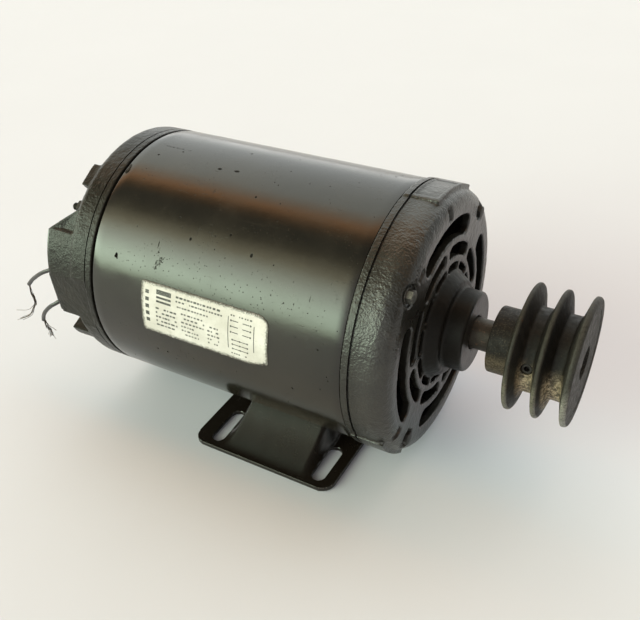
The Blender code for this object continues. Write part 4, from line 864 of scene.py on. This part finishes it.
# notches cast into the rim, and the shallow panel sunk in the top pad
notch = bmesh.new()
for a0, a1, r0, r1, xa in ((87.5, 91.5, 69.5, 78.0, 20.3), (121.5, 127.5, 66.0, 70.5, 20.8), (206.5, 210.5, 69.5, 79.0, 20.3), (221.6, 228.4, 66.0, 90.0, 20.2), (43.0, 47.0, 70.0, 90.0, 20.6), (-40.0, -36.0, 69.5, 78.0, 20.3)):
    prism(sector(r0, r1, a0, a1, 1.0), xa, 27.0, notch)
cuts.append(plain("c5", notch))
boolean(front, cuts[-1])
panel = bmesh.new()
prism(sector(82.95, 87.0, 70.0, 91.6, 1.0), 1.6, 15.6, panel)
cuts.append(plain("c6", panel))
boolean(front, cuts[-1])
ret_holes = bmesh.new()
for a in (0.0, 180.0):
    prism(polygon(1.9, 16, polar(26.8, a)), 2.0, 18.5, ret_holes)
cuts.append(plain("c7", ret_holes))
boolean(front, cuts[-1])
voxelled(front, VOX, 2)
bake(front, *cuts)


def outside_front(co, no):
    r = np.hypot(co[:, 1], co[:, 2])
    return np.where((r < 25.5) & (co[:, 0] < 26.0), 0.0, np.where(r < 25.5, 0.35, 1.0)) * np.where(co[:, 0] < -4.5, 0.0, 1.0)


sand(front, [(9.0, 0.10), (3.0, 0.10)], outside_front)
ring_cut(front, -0.75, 0.65, 81.3)
piece(front, "cast", "motor_body", "cast_paint", "front_end_shield")

# ================================================================ rear end shield with its terminal box
REAR_RIM_X, R_BOX = -203.5, 81.9
rear = plain("rear_end_shield_and_box", lathe(filleted([
    (-174.0, 76.5, 0.3), (-174.0, 80.2, 0.4), (-179.4, 80.2), (-179.4, 78.2), (-182.1, 78.2), (-182.1, SHIELD_R + 0.6, 0.3), (-198.8, SHIELD_R + 0.6, 1.5), (-202.4, 80.2, 1.5), (REAR_RIM_X, 77.0, 1.0),
    (REAR_RIM_X, 30.5, 1.5), (-206.5, 28.0, 1.5), (-206.5, 0.0), (-202.5, 0.0), (-202.5, 20.3), (-187.6, 20.3, 0.3), (-187.6, 26.5, 0.6),
    (-198.5, 30.5, 1.0), (-198.5, 69.0, 2.5), (-194.0, 76.5, 2.0)]), 160), 30)
cuts = []
arc_a0 = 180.0 - math.degrees(math.asin(BOX_TOP_Z / R_BOX))
arc_a1 = 180.0 + math.degrees(math.asin(-BOX_LOW_Z / R_BOX))


def box_arc(r, a0, a1, steps=28):
    return [polar(r, a0 + (a1 - a0) * k / steps) for k in range(steps + 1)]


box = prism(box_arc(R_BOX, arc_a0, arc_a1) + [(BOX_IN_Y, BOX_LOW_Z), (BOX_IN_Y, BOX_TOP_Z)], BOX_X, -196.0, None, BOX_TILT)
for v in box.verts:
    if v.co.x > -205.0:
        v.co.x = -196.0
cuts.append(plain("r1", box))
boolean(rear, cuts[-1], "UNION")
roof = bmesh.new()
roof_pts = [(-220.1, 43.0), (-201.4, 55.4), (-197.0, 55.4), (-197.0, 38.6), (-215.0, 38.6)]
side_a = [roof.verts.new((x, -math.sqrt(R_BOX ** 2 - z ** 2) if k < 3 else -69.9, z)) for k, (x, z) in enumerate(roof_pts)]
side_b = [roof.verts.new((x, BOX_IN_Y + 0.2, z)) for x, z in roof_pts]
roof.faces.new(side_a)
roof.faces.new(list(reversed(side_b)))
for i in range(5):
    j = (i + 1) % 5
    roof.faces.new((side_a[i], side_a[j], side_b[j], side_b[i]))
cuts.append(plain("r2", roof))
boolean(rear, cuts[-1], "UNION")
lugs = bmesh.new()
for a0, a1, x_end in ((114.0, 125.5, -207.2), (202.5, 207.5, -217.6), (50.0, 62.0, -207.2), (-62.0, -50.0, -207.2)):
    prism(sector(70.5, 81.2, a0, a1), x_end, -199.0, lugs)
cuts.append(plain("r3", lugs))
boolean(rear, cuts[-1], "UNION")
# flat cheek along the lower half of the box's side
CHEEK = [polar(82.45, 168.0), polar(82.45, 193.0)]
cuts.append(plain("r10", prism([CHEEK[0]] + [polar(92.0, a) for a in (166.0, 172.0, 178.0, 184.0, 190.0, 195.0)] + [CHEEK[1]], -230.0, -187.0)))
boolean(rear, cuts[-1])
cavity = prism(box_arc(R_BOX - 3.2, arc_a0 + 2.0, arc_a1 - 1.8) + [(BOX_IN_Y - 3.0, BOX_LOW_Z + 2.7), (BOX_IN_Y - 3.0, BOX_TOP_Z - 2.9)], BOX_X - 4.0, -205.0, None, BOX_TILT)
for v in cavity.verts:
    if v.co.x > -210.0:
        v.co.x = -203.0
cuts.append(plain("r4", cavity))
boolean(rear, cuts[-1])
cuts.append(plain("r5", prism(polygon(7.0, 32, (-52.0, 10.0)), -206.0, -190.0)))
boolean(rear, cuts[-1])
rv = bmesh.new()
for a0, a1 in ((-72.0, -18.0), (63.0, 108.0), (-5.0, 49.0), (218.0, 274.0)):
    prism(arc_slot(52.0, 66.0, a0, a1, 5.8), -212.0, -192.0, rv)
for k in range(8):
    a = 45.0 * k + 22.5
    if not (130.0 < a < 230.0):
        prism(arc_slot(36.5, 46.5, a - 18.0, a + 18.0, 3.6), -212.0, -192.0, rv)
cuts.append(plain("r6", rv))
boolean(rear, cuts[-1])
seats = bmesh.new()
for a in (45.0, 135.0, 225.0, 315.0):
    lathe([(-225.0, 0.0), (-225.0, 7.0), (-203.2, 7.0), (-203.2, 2.9), (-190.0, 2.9), (-190.0, 0.0)], 32, seats, polar(72.0, a), a)
cuts.append(plain("r7", seats))
boolean(rear, cuts[-1])
COVER_SCREWS = ((-62.0, 36.2), (-40.5, -8.2))
posts = bmesh.new()
for y, z in COVER_SCREWS:
    lean = -BOX_TILT * (z - BOX_MID_Z)
    lathe([(BOX_X + lean + 0.05, 0.0), (BOX_X + lean + 0.05, 4.6), (-202.0, 4.6), (-202.0, 0.0)], 32, posts, (y, z))
cuts.append(plain("r8", posts))
boolean(rear, cuts[-1], "UNION")
sh = bmesh.new()
for y, z in COVER_SCREWS:
    lathe([(-230.0, 0.0), (-230.0, 1.9), (-207.0, 1.9), (-207.0, 0.0)], 20, sh, (y, z))
cuts.append(plain("r9", sh))
boolean(rear, cuts[-1])
voxelled(rear, VOX, 1)
bake(rear, *cuts)


def outside_rear(co, no):
    r = np.hypot(co[:, 1], co[:, 2])
    return np.where(r < 22.0, 0.0, 1.0) * np.where(co[:, 0] > -181.5, 0.0, 1.0)


sand(rear, [(9.0, 0.12), (3.0, 0.10)], outside_rear)
ring_cut(rear, -187.4, -186.6, 81.9)
piece(rear, "cast", "motor_body", "cast_paint", "rear_end_shield")

# ================================================================ terminal cover and its screws
cover_outline = box_arc(R_BOX - 0.8, arc_a0 + 0.8, arc_a1 - 0.6) + [(BOX_IN_Y - 0.6, BOX_LOW_Z + 0.6), (BOX_IN_Y - 0.6, BOX_TOP_Z - 0.7)]
cover = plain("terminal_box_cover", prism(cover_outline, BOX_X - GAP - 1.2, BOX_X - GAP, None, BOX_TILT))
MID_Z = (LEAD_Z[0] + LEAD_Z[1]) / 2
cuts = [plain("k1", prism(stadium(LEAD_Y, MID_Z, 6.4, 27.0), BOX_X - 6.0, BOX_X + 4.0, None, BOX_TILT))]
boolean(cover, cuts[-1])
sh = bmesh.new()
for y, z in COVER_SCREWS:
    lathe([(-230.0, 0.0), (-230.0, 1.9), (-207.0, 1.9), (-207.0, 0.0)], 24, sh, (y, z))
cuts.append(plain("k2", sh))
boolean(cover, cuts[-1])
cuts.append(plain("k6", prism([polar(81.9, 168.0)] + [polar(92.0, a) for a in (166.0, 172.0, 178.0, 184.0, 190.0, 195.0)] + [polar(81.9, 193.0)], -230.0, -205.0)))
boolean(cover, cuts[-1])
bake(cover, *cuts)
bev = cover.modifiers.new("edge", "BEVEL")
bev.width, bev.segments, bev.limit_method, bev.angle_limit = 0.0003, 3, "ANGLE", math.radians(50)
bake(cover)
cover.data.set_sharp_from_angle(angle=math.radians(30))
piece(cover, "shell", "motor_body", "shell_paint", "terminal_cover")
for i, (y, z) in enumerate(COVER_SCREWS):
    lean = -BOX_TILT * (z - BOX_MID_Z)
    x = BOX_X + lean - GAP - 1.2 - GAP - 0.3
    screw = plain("cover_screw_%d" % (i + 1), lathe(filleted([
        (x - 2.0, 0.0), (x - 1.9, 1.6, 0.5), (x - 1.2, 3.4, 0.8), (x, 3.6, 0.3), (x, 1.5), (x + 8.0, 1.5), (x + 8.6, 0.9), (x + 8.6, 0.0)], 3), 40, None, (y, z)))
    slot_form = plain("k3", prism([(y + u * math.cos(0.6 + i) - v * math.sin(0.6 + i), z + u * math.sin(0.6 + i) + v * math.cos(0.6 + i)) for u, v in ((-5, -0.45), (5, -0.45), (5, 0.45), (-5, 0.45))], x - 4.0, x - 0.9))
    boolean(screw, slot_form)
    bake(screw, slot_form)
    screw.data.set_sharp_from_angle(angle=math.radians(30))
    piece(screw, "plated", "motor_body", "plated_steel", "terminal_cover_screw_%d" % (i + 1))


# ================================================================ foot base: pressed plate, gloss black
BASE_X, BASE_LX, BASE_LY, BASE_T, SLOT_X = -66.9, 103.5, 165.0, 3.0, -65.4


def smooth01(t):
    t = np.clip(t, 0.0, 1.0)
    return t * t * (3.0 - 2.0 * t)


CREST_Y, RAMP_Y = 45.0, 80.0


def base_height(x, y):
    u, v = np.abs(x - SLOT_X), np.abs(y)
    rise = SHAFT_H - np.sqrt((SHELL_R + GAP) ** 2 - np.minimum(v, 60.0) ** 2) - BASE_T - 0.6
    peak = SHAFT_H - math.sqrt((SHELL_R + GAP) ** 2 - CREST_Y ** 2) - BASE_T - 0.6
    fall = peak * np.clip((RAMP_Y - v) / (RAMP_Y - CREST_Y), 0.0, 3.0) ** 1.5
    blend = np.clip(0.5 + 0.5 * (fall - rise) / 2.6, 0.0, 1.0)
    low = fall * (1.0 - blend) + rise * blend - 2.6 * blend * (1.0 - blend)
    return np.maximum(0.0, low) * (1.0 - smooth01((u - 26.5) / 9.0))


gx = np.linspace(BASE_X - BASE_LX / 2 - 1, BASE_X + BASE_LX / 2 + 1, 72)
gy = np.linspace(-84, 84, 112)
hh = base_height(gx[:, None], gy[None, :])
bm = bmesh.new()
grid = [[(bm.verts.new((x, y, hh[i, j] - SHAFT_H)), bm.verts.new((x, y, hh[i, j] + BASE_T - SHAFT_H))) for j, y in enumerate(gy)] for i, x in enumerate(gx)]
nx, ny = len(gx), len(gy)
for i in range(nx - 1):
    for j in range(ny - 1):
        bm.faces.new((grid[i][j][1], grid[i + 1][j][1], grid[i + 1][j + 1][1], grid[i][j + 1][1]))
        bm.faces.new((grid[i][j][0], grid[i][j + 1][0], grid[i + 1][j + 1][0], grid[i + 1][j][0]))
for i in range(nx - 1):
    for j in (0, ny - 1):
        bm.faces.new((grid[i][j][0], grid[i + 1][j][0], grid[i + 1][j][1], grid[i][j][1]))
for j in range(ny - 1):
    for i in (0, nx - 1):
        bm.faces.new((grid[i][j][0], grid[i][j + 1][0], grid[i][j + 1][1], grid[i][j][1]))
foot = plain("pressed_foot_base", bm, 50)
cuts = [plain("b1", flat_prism(rounded(BASE_X, 0.0, BASE_LX, BASE_LY, 9.0, 10), -5.0 - SHAFT_H, 40.0 - SHAFT_H))]
boolean(foot, cuts[-1], "INTERSECT")
sl = bmesh.new()
for sx in (-1, 1):
    for sy in (-1, 1):
        flat_prism(stadium(SLOT_X + sx * 38.1, sy * 61.9, 8.7, 30.6, 12), -5.0 - SHAFT_H, 12.0 - SHAFT_H, sl)
cuts.append(plain("b2", sl))
boolean(foot, cuts[-1])
voxelled(foot, 0.6, 2)
bake(foot, *cuts)
co, no = read(foot.data)
ref = base_height(co[:, 0], co[:, 1]) - SHAFT_H
gap_top, gap_low = np.abs(co[:, 2] - ref - BASE_T), np.abs(co[:, 2] - ref)
co[:, 2] = np.where((gap_top < 0.22) & (no[:, 2] > 0.75), ref + BASE_T, co[:, 2])
co[:, 2] = np.where((gap_low < 0.22) & (no[:, 2] < -0.75), ref, co[:, 2])
co[:, 2] = np.maximum(co[:, 2], -SHAFT_H)
write(foot.data, co)
piece(foot, "gloss", "motor_body", "base_paint", "foot_base")

# ================================================================ shaft, pulley, key and set screw
KEY_ANGLE, SET_SCREW_X = 171.0, 80.05


def strip(deg, r0, r1, w):
    a = math.radians(deg)
    er, et = (math.cos(a), math.sin(a)), (-math.sin(a), math.cos(a))
    return [(er[0] * r + et[0] * s, er[1] * r + et[1] * s) for r, s in ((r0, -w / 2), (r1, -w / 2), (r1, w / 2), (r0, w / 2))]


shaft = plain("turned_shaft", lathe(filleted([
    (-199.6, 0.0), (-199.6, 7.8, 0.5), (-198.8, 8.5, 0.5), (-187.9, 8.5), (-187.9, 12.2, 0.4), (-150.0, 12.2), (-150.0, 13.6, 0.4), (-44.0, 13.6, 0.4), (-44.0, 12.2),
    (9.6, 12.2, 0.3), (9.6, 10.0), (26.0, 10.0, 0.3), (26.0, 9.525), (89.4, 9.525, 0.4), (90.4, 8.525, 0.3), (90.4, 2.4, 0.3), (88.0, 0.0)], 3), 96), 30)
cut = plain("s1", prism(strip(KEY_ANGLE, 7.025, 14.0, 5.36), 54.0, 95.0))
boolean(shaft, cut)
bake(shaft, cut)
shaft.data.set_sharp_from_angle(angle=math.radians(30))
piece(shaft, "shaft", "rotor", "shaft_steel", "shaft")

f1, f2, f3 = 72.0, 88.1, 104.2
rimw, FR, GR, HUB = 1.4, 37.8, 25.0, 20.0
run = (FR - 0.5 - GR) * math.tan(math.radians(15.0))


def rim_top(f, w=1.4):
    """Rounded crest of a flange."""
    return [(f - w, FR - 0.9, 0.7), (f - 0.55 * w, FR, 0.6), (f + 0.55 * w, FR, 0.6), (f + w, FR - 0.9, 0.7)]


profile = [(54.9, 9.85, 0.4), (54.9, HUB, 0.9), (f1 - 4.2, HUB, 1.4)] + rim_top(f1)
profile += [(f1 + rimw + run, GR, 1.4), (f2 - rimw - run, GR, 1.4)] + rim_top(f2)
profile += [(f2 + rimw + run, GR, 1.4), (f3 - rimw - run, GR, 1.4), (f3 - rimw, FR - 0.9, 0.7), (f3 - 0.8, FR, 0.6), (f3 + 0.9, FR, 0.6), (106.5, FR - 1.1, 0.7)]
profile += [(106.5, 31.5, 0.5), (106.0, 31.0, 0.4), (106.0, 9.85, 0.4)]


def pulley_wobble(x, r, a):
    v = Vector((x * 0.35, math.cos(a) * r * 0.35, math.sin(a) * r * 0.35))
    big = Vector((x * 0.06, math.cos(a) * 2.0, math.sin(a) * 2.0))
    return (0.13 * noise.noise(v) + (0.16 * noise.noise(big) if r > 36 else 0.05 * noise.noise(big))) if r > 12 else 0.0


pulley = plain("two_groove_pulley", lathe(filleted(profile, 4), 180, wobble=pulley_wobble), 38)
cuts = [plain("p1", prism(strip(KEY_ANGLE, 8.0, 12.1, 5.36), 50.0, 110.0))]
boolean(pulley, cuts[-1])


def radial(r0, r1, radius, sides, name, taper=0.0):
    bm = bmesh.new()
    a = math.radians(KEY_ANGLE)
    er, et, ex = Vector((0, math.cos(a), math.sin(a))), Vector((0, -math.sin(a), math.cos(a))), Vector((1, 0, 0))
    ends = []
    for r, rad in ((r0, radius), (r1 - taper, radius), (r1, radius - taper)) if taper else ((r0, radius), (r1, radius)):
        ends.append([bm.verts.new(Vector((SET_SCREW_X, 0, 0)) + er * r + ex * rad * math.cos(t) + et * rad * math.sin(t)) for t in (2 * math.pi * k / sides for k in range(sides))])
    bm.faces.new(ends[0])
    bm.faces.new(list(reversed(ends[-1])))
    for a_, b_ in zip(ends, ends[1:]):
        for k in range(sides):
            m = (k + 1) % sides
            bm.faces.new((a_[k], a_[m], b_[m], b_[k]))
    return plain(name, bm)


cuts.append(radial(11.0, 27.0, 3.5, 32, "p2"))
boolean(pulley, cuts[-1])
bake(pulley, *cuts)
pulley.data.set_sharp_from_angle(angle=math.radians(38))
piece(pulley, "pulley", "rotor", "pulley_iron", "pulley")
screw = radial(12.2, 24.2, 3.15, 32, "socket_set_screw", 0.4)
cut = radial(20.8, 27.0, 1.8, 6, "p3")
boolean(screw, cut)
bake(screw, cut)
screw.data.set_sharp_from_angle(angle=math.radians(30))
piece(screw, "dark", "rotor", "dark_steel", "pulley_set_screw")

# ================================================================ through bolts and nuts
for i, a in enumerate((45.0, 135.0, 225.0, 315.0)):
    c = polar(72.0, a)
    hexr = 7.0 / math.sqrt(3.0)
    head = plain("h1", prism(polygon(hexr, 6, c, 30.0 + 11.0 * i), 19.9, 24.1))
    form = plain("h2", lathe([(18.9, 0.0), (18.9, 6.0), (22.4, 6.0), (23.9, 3.0), (24.2, 0.0)], 48, None, c))
    boolean(head, form, "INTERSECT")
    rod = plain("h3", lathe([(20.05, 0.0), (20.05, 4.6), (19.95, 4.75), (19.65, 4.75), (19.6, 4.0), (19.4, 2.4), (-212.9, 2.4), (-213.8, 1.7), (-213.8, 0.0)], 40, None, c))
    boolean(head, rod, "UNION")
    bake(head, form, rod)
    head.name = "hex_through_bolt_%d" % (i + 1)
    head.data.set_sharp_from_angle(angle=math.radians(25))
    piece(head, "plated" if i == 1 else "painted_bolt", "motor_body", "plated_steel", "through_bolt_%d" % (i + 1))
    nut = plain("hex_nut_%d" % (i + 1), prism(polygon(9.5 / math.sqrt(3), 6, c, 20.0 + 17 * i), -208.2, -203.5))
    form = plain("h4", lathe([(-208.3, 0.0), (-208.3, 4.5), (-207.3, 5.9), (-204.4, 5.9), (-203.4, 4.9), (-203.4, 0.0)], 48, None, c))
    boolean(nut, form, "INTERSECT")
    bore = plain("h5", lathe([(-210.0, 0.0), (-210.0, 2.75), (-200.0, 2.75), (-200.0, 0.0)], 32, None, c))
    boolean(nut, bore)
    bake(nut, form, bore)
    nut.data.set_sharp_from_angle(angle=math.radians(25))
    piece(nut, "dark", "motor_body", "dark_steel", "through_bolt_nut_%d" % (i + 1))

# ================================================================ nameplate: aged foil label with generic marks
LX0, LX1, LA0, LA1 = -141.0, -50.5, 158.0, 181.3
R_LAB = SHELL_R + 0.12
ARC = math.pi / 180 * R_LAB
cols = 260
bm = bmesh.new()
rim_layer = bm.verts.layers.float.new("rim")
rows_n = 36
mat_rows = []
for i in range(cols + 1):
    x = LX0 + (LX1 - LX0) * i / cols
    t_edge = LA0 + (0.16 * noise.noise(Vector((x * 0.55, 3.0, 0))) + 0.10 * noise.noise(Vector((x * 1.9, 7.0, 0)))) * 1.6
    b_edge = LA1 + (0.20 * noise.noise(Vector((x * 0.5, 13.0, 0))) + 0.12 * noise.noise(Vector((x * 1.7, 17.0, 0)))) * 1.6
    d1, d0 = LX1 - x, x - LX0
    if d1 < 8.5:
        q = 1 - d1 / 8.5
        t_edge += 4.6 * (1 - math.sqrt(max(0.0, 1 - q * q)))
    if d1 < 14.0:
        q = 1 - d1 / 14.0
        b_edge -= 2.6 * q ** 1.6 + 0.5 * abs(noise.noise(Vector((x * 1.3, 23.0, 0))))
    if d0 < 2.0:
        q = 1 - d0 / 2.0
        t_edge += 1.2 * (1 - math.sqrt(max(0.0, 1 - q * q)))
        b_edge -= 1.2 * (1 - math.sqrt(max(0.0, 1 - q * q)))
    col = []
    for j in range(rows_n + 1):
        a = t_edge + (b_edge - t_edge) * j / rows_n
        edge = min((a - t_edge) * ARC, (b_edge - a) * ARC, d0, d1)
        lift = 0.03 if edge > 0.3 else 0.0
        y, z = polar(R_LAB + 0.14 + lift, a)
        v = bm.verts.new((x, y, z))
        v[rim_layer] = edge
        col.append(v)
    mat_rows.append(col)
for i in range(cols):
    for j in range(rows_n):
        bm.faces.new((mat_rows[i][j], mat_rows[i + 1][j], mat_rows[i + 1][j + 1], mat_rows[i][j + 1]))
label = plain("identity_label", bm, 0)
sol = label.modifiers.new("thick", "SOLIDIFY")
sol.thickness, sol.offset = 0.00016, -1.0
bake(label)
co, no = read(label.data)
if np.mean((co[:, 1] * no[:, 1] + co[:, 2] * no[:, 2]) > 0) < 0.3:
    label.data.flip_normals()
piece(label, "label", "motor_body", "nameplate", "nameplate")

# Generic marks: plain bars, dots and strokes on the label, u along it and v down it in mm.
marks = bmesh.new()
R_INK = R_LAB + 0.205


def mark(u0, v0, u1, v1):
    nu = 1
    nv = max(1, int(abs(v1 - v0) / 1.5))
    prev = None
    for j in range(nv + 1):
        v = v0 + (v1 - v0) * j / nv
        y, z = polar(R_INK, LA0 + v / ARC)
        cur = (marks.verts.new((LX0 + u0, y, z)), marks.verts.new((LX0 + u1, y, z)))
        if prev:
            marks.faces.new((prev[0], prev[1], cur[1], cur[0]))
        prev = cur


def spot(u, v, r, n=12):
    ring = []
    for k in range(n):
        t = 2 * math.pi * k / n
        y, z = polar(R_INK, LA0 + (v + r * math.sin(t)) / ARC)
        ring.append(marks.verts.new((LX0 + u + r * math.cos(t), y, z)))
    marks.faces.new(ring)


def dashes(rnd, u0, u1, v, h, lo, hi, gap, fill=1.0):
    u = u0
    while u < u1 - lo:
        w = rnd.uniform(lo, hi)
        if rnd.random() < fill:
            mark(u, v + rnd.uniform(-0.05, 0.05), min(u + w, u1), v + h)
        u += w + gap * rnd.uniform(0.7, 1.5)


rnd = random.Random(5)
for k in range(5):  # a column of bold marks at the left end
    mark(3.2, 5.5 + 4.6 * k, 6.0, 5.5 + 4.6 * k + rnd.uniform(1.7, 2.7))
for v0, v1 in ((3.6, 6.6), (7.8, 9.2), (10.4, 11.8)):
    mark(11.5, v0, 22.5, v1)  # a plain block of three bars
for v in (15.0, 17.8, 20.6, 23.4, 26.2):
    dashes(rnd, 11.0, 27.0, v, 1.15, 0.9, 2.6, 0.75, 0.9)
for v in (13.9, 16.6, 19.3, 22.0, 24.7, 27.4):
    dashes(rnd, 30.0, 47.0 if v < 20 else 43.0, v, 1.05, 0.7, 2.2, 0.8, 0.85)
dashes(rnd, 26.0, 58.0, 4.2, 1.25, 0.8, 2.4, 0.7, 0.95)
dashes(rnd, 26.0, 60.0, 7.0, 1.0, 0.6, 1.9, 0.7, 0.9)
dashes(rnd, 27.0, 50.0, 10.2, 1.0, 0.6, 1.9, 0.7, 0.85)
for v in (16.5, 19.2, 21.9, 24.6, 27.3):
    dashes(rnd, 49.0, 58.0, v, 1.0, 0.7, 1.9, 0.9, 0.75)
for k in range(3):  # strokes and dots of the wiring sketch
    v = 8.0 + 3.6 * k
    mark(66.5, v, 70.5, v + 0.55)
    spot(65.6, v + 0.3, 0.65)
    mark(73.5, v, 78.0, v + 0.55)
    spot(78.9, v + 0.3, 0.65)
mark(63.4, 6.2, 63.9, 26.5)
mark(81.0, 8.0, 81.5, 24.5)
for k in range(3):
    v = 20.0 + 3.0 * k
    mark(67.0, v, 76.5, v + 0.5)
    spot(66.6, v + 0.25, 0.6)
    spot(71.8, v + 0.25, 0.6)
    spot(76.9, v + 0.25, 0.6)
dashes(rnd, 65.0, 80.0, 4.6, 0.9, 0.7, 1.6, 0.8, 0.85)
dashes(rnd, 65.5, 78.0, 29.0, 0.9, 0.7, 1.6, 0.8, 0.6)
marks_obj = plain("label_marks", marks, 0, weld=0)
co, no = read(marks_obj.data)
if np.mean(co[:, 1] * no[:, 1] + co[:, 2] * no[:, 2]) < 0:
    marks_obj.data.flip_normals()
piece(marks_obj, "ink", "motor_body", "nameplate")

# ================================================================ floor and soft studio light
bm = bmesh.new()
bmesh.ops.create_grid(bm, x_segments=2, y_segments=2, size=30.0)
floor_mesh = bpy.data.meshes.new("studio_floor")
bm.to_mesh(floor_mesh)
bm.free()
floor = bpy.data.objects.new("studio_floor", floor_mesh)
floor.location = (0.0, 0.0, -0.0002)
scene.collection.objects.link(floor)
g = Graph("pale_floor", 0.65, 0.0, (0.5, 0.5, 0.5), 0.25)
paper = g.noise(0.006, 3.0, 0.5)
g.set("Base Color", g.mix(paper, (0.672, 0.690, 0.768), (0.698, 0.716, 0.796)))
g.bump((g.noise(0.02, 2.0, 0.5), 0.25))
floor.data.materials.append(g.mat)

world = bpy.data.worlds.new("soft_studio")
scene.world = world
world.use_nodes = True
wt = world.node_tree
for n in list(wt.nodes):
    wt.nodes.remove(n)


def wn(kind, **props):
    node = wt.nodes.new(kind)
    for key, value in props.items():
        setattr(node, key, value)
    return node


def wmath(op, a, b=0.0):
    node = wn("ShaderNodeMath", operation=op)
    for value, socket in ((a, node.inputs[0]), (b, node.inputs[1])):
        if isinstance(value, bpy.types.NodeSocket):
            wt.links.new(value, socket)
        else:
            socket.default_value = value
    return node.outputs[0]


direction = wn("ShaderNodeTexCoord").outputs["Generated"]
sep = wn("ShaderNodeSeparateXYZ")
wt.links.new(direction, sep.inputs[0])
dx, dy, dz = sep.outputs
turn = wmath("ARCTAN2", dz, dy)
position = wmath("ADD", wmath("MULTIPLY", turn, 1 / (2 * math.pi)), 0.5)
TOP = 13.0


def band(stops):
    ramp = wn("ShaderNodeValToRGB")
    ramp.color_ramp.interpolation = "LINEAR"
    el = ramp.color_ramp.elements
    while len(el) > 1:
        el.remove(el[-1])
    first = True
    for deg, colour in stops:
        pos = (deg + 180.0) / 360.0
        if first:
            el[0].position = pos
            e = el[0]
            first = False
        else:
            e = el.new(pos)
        e.color = (*(c / TOP for c in colour), 1.0)
    wt.links.new(position, ramp.inputs[0])
    return ramp.outputs[0]


GREY = lambda v: (v, v * 0.985, v * 0.96)
room = [(-180, GREY(0.8)), (-20, GREY(0.8)), (-14, GREY(1.5)), (2, (2.08, 2.10, 2.02)), (18, (1.50, 1.58, 1.55)), (34, (1.66, 1.74, 1.68)), (66, (1.95, 2.00, 1.80)), (76, (1.90, 1.46, 1.05)), (83, (2.35, 1.12, 0.48)), (91, (0.55, 0.28, 0.13)),
        (98, GREY(0.12)), (108, GREY(0.14)), (117, (0.42, 0.37, 0.26))]
window = band(room + [(130, (2.3, 2.1, 1.4)), (146, (5.5, 6.1, 4.9)), (162, (8.3, 10.1, 7.8)), (170, (7.4, 9.0, 6.8)), (176, (4.3, 5.2, 3.7)), (180, (0.95, 0.93, 0.78))])
plain_room = band(room + [(130, GREY(0.55)), (150, GREY(1.15)), (180, GREY(1.30))])
side = wn("ShaderNodeMapRange", interpolation_type="SMOOTHSTEP")
wt.links.new(dx, side.inputs["Value"])
for key, v in (("From Min", -0.06), ("From Max", -0.46), ("To Min", 0.0), ("To Max", 1.0)):
    side.inputs[key].default_value = v
mixer = wn("ShaderNodeMix", data_type="RGBA")
wt.links.new(side.outputs[0], mixer.inputs[0])
wt.links.new(plain_room, mixer.inputs[6])
wt.links.new(window, mixer.inputs[7])
background = wn("ShaderNodeBackground")
fade = wn("ShaderNodeMapRange", interpolation_type="SMOOTHSTEP")
wt.links.new(dx, fade.inputs["Value"])
for key, v in (("From Min", 0.2), ("From Max", 0.7), ("To Min", 1.0), ("To Max", 0.4)):
    fade.inputs[key].default_value = v
dim = wn("ShaderNodeMix", data_type="RGBA", blend_type="MULTIPLY")
dim.inputs[0].default_value = 1.0
wt.links.new(mixer.outputs[2], dim.inputs[6])
wt.links.new(fade.outputs[0], dim.inputs[7])
wt.links.new(dim.outputs[2], background.inputs["Color"])
background.inputs["Strength"].default_value = TOP
out = wn("ShaderNodeOutputWorld")
wt.links.new(background.outputs[0], out.inputs["Surface"])
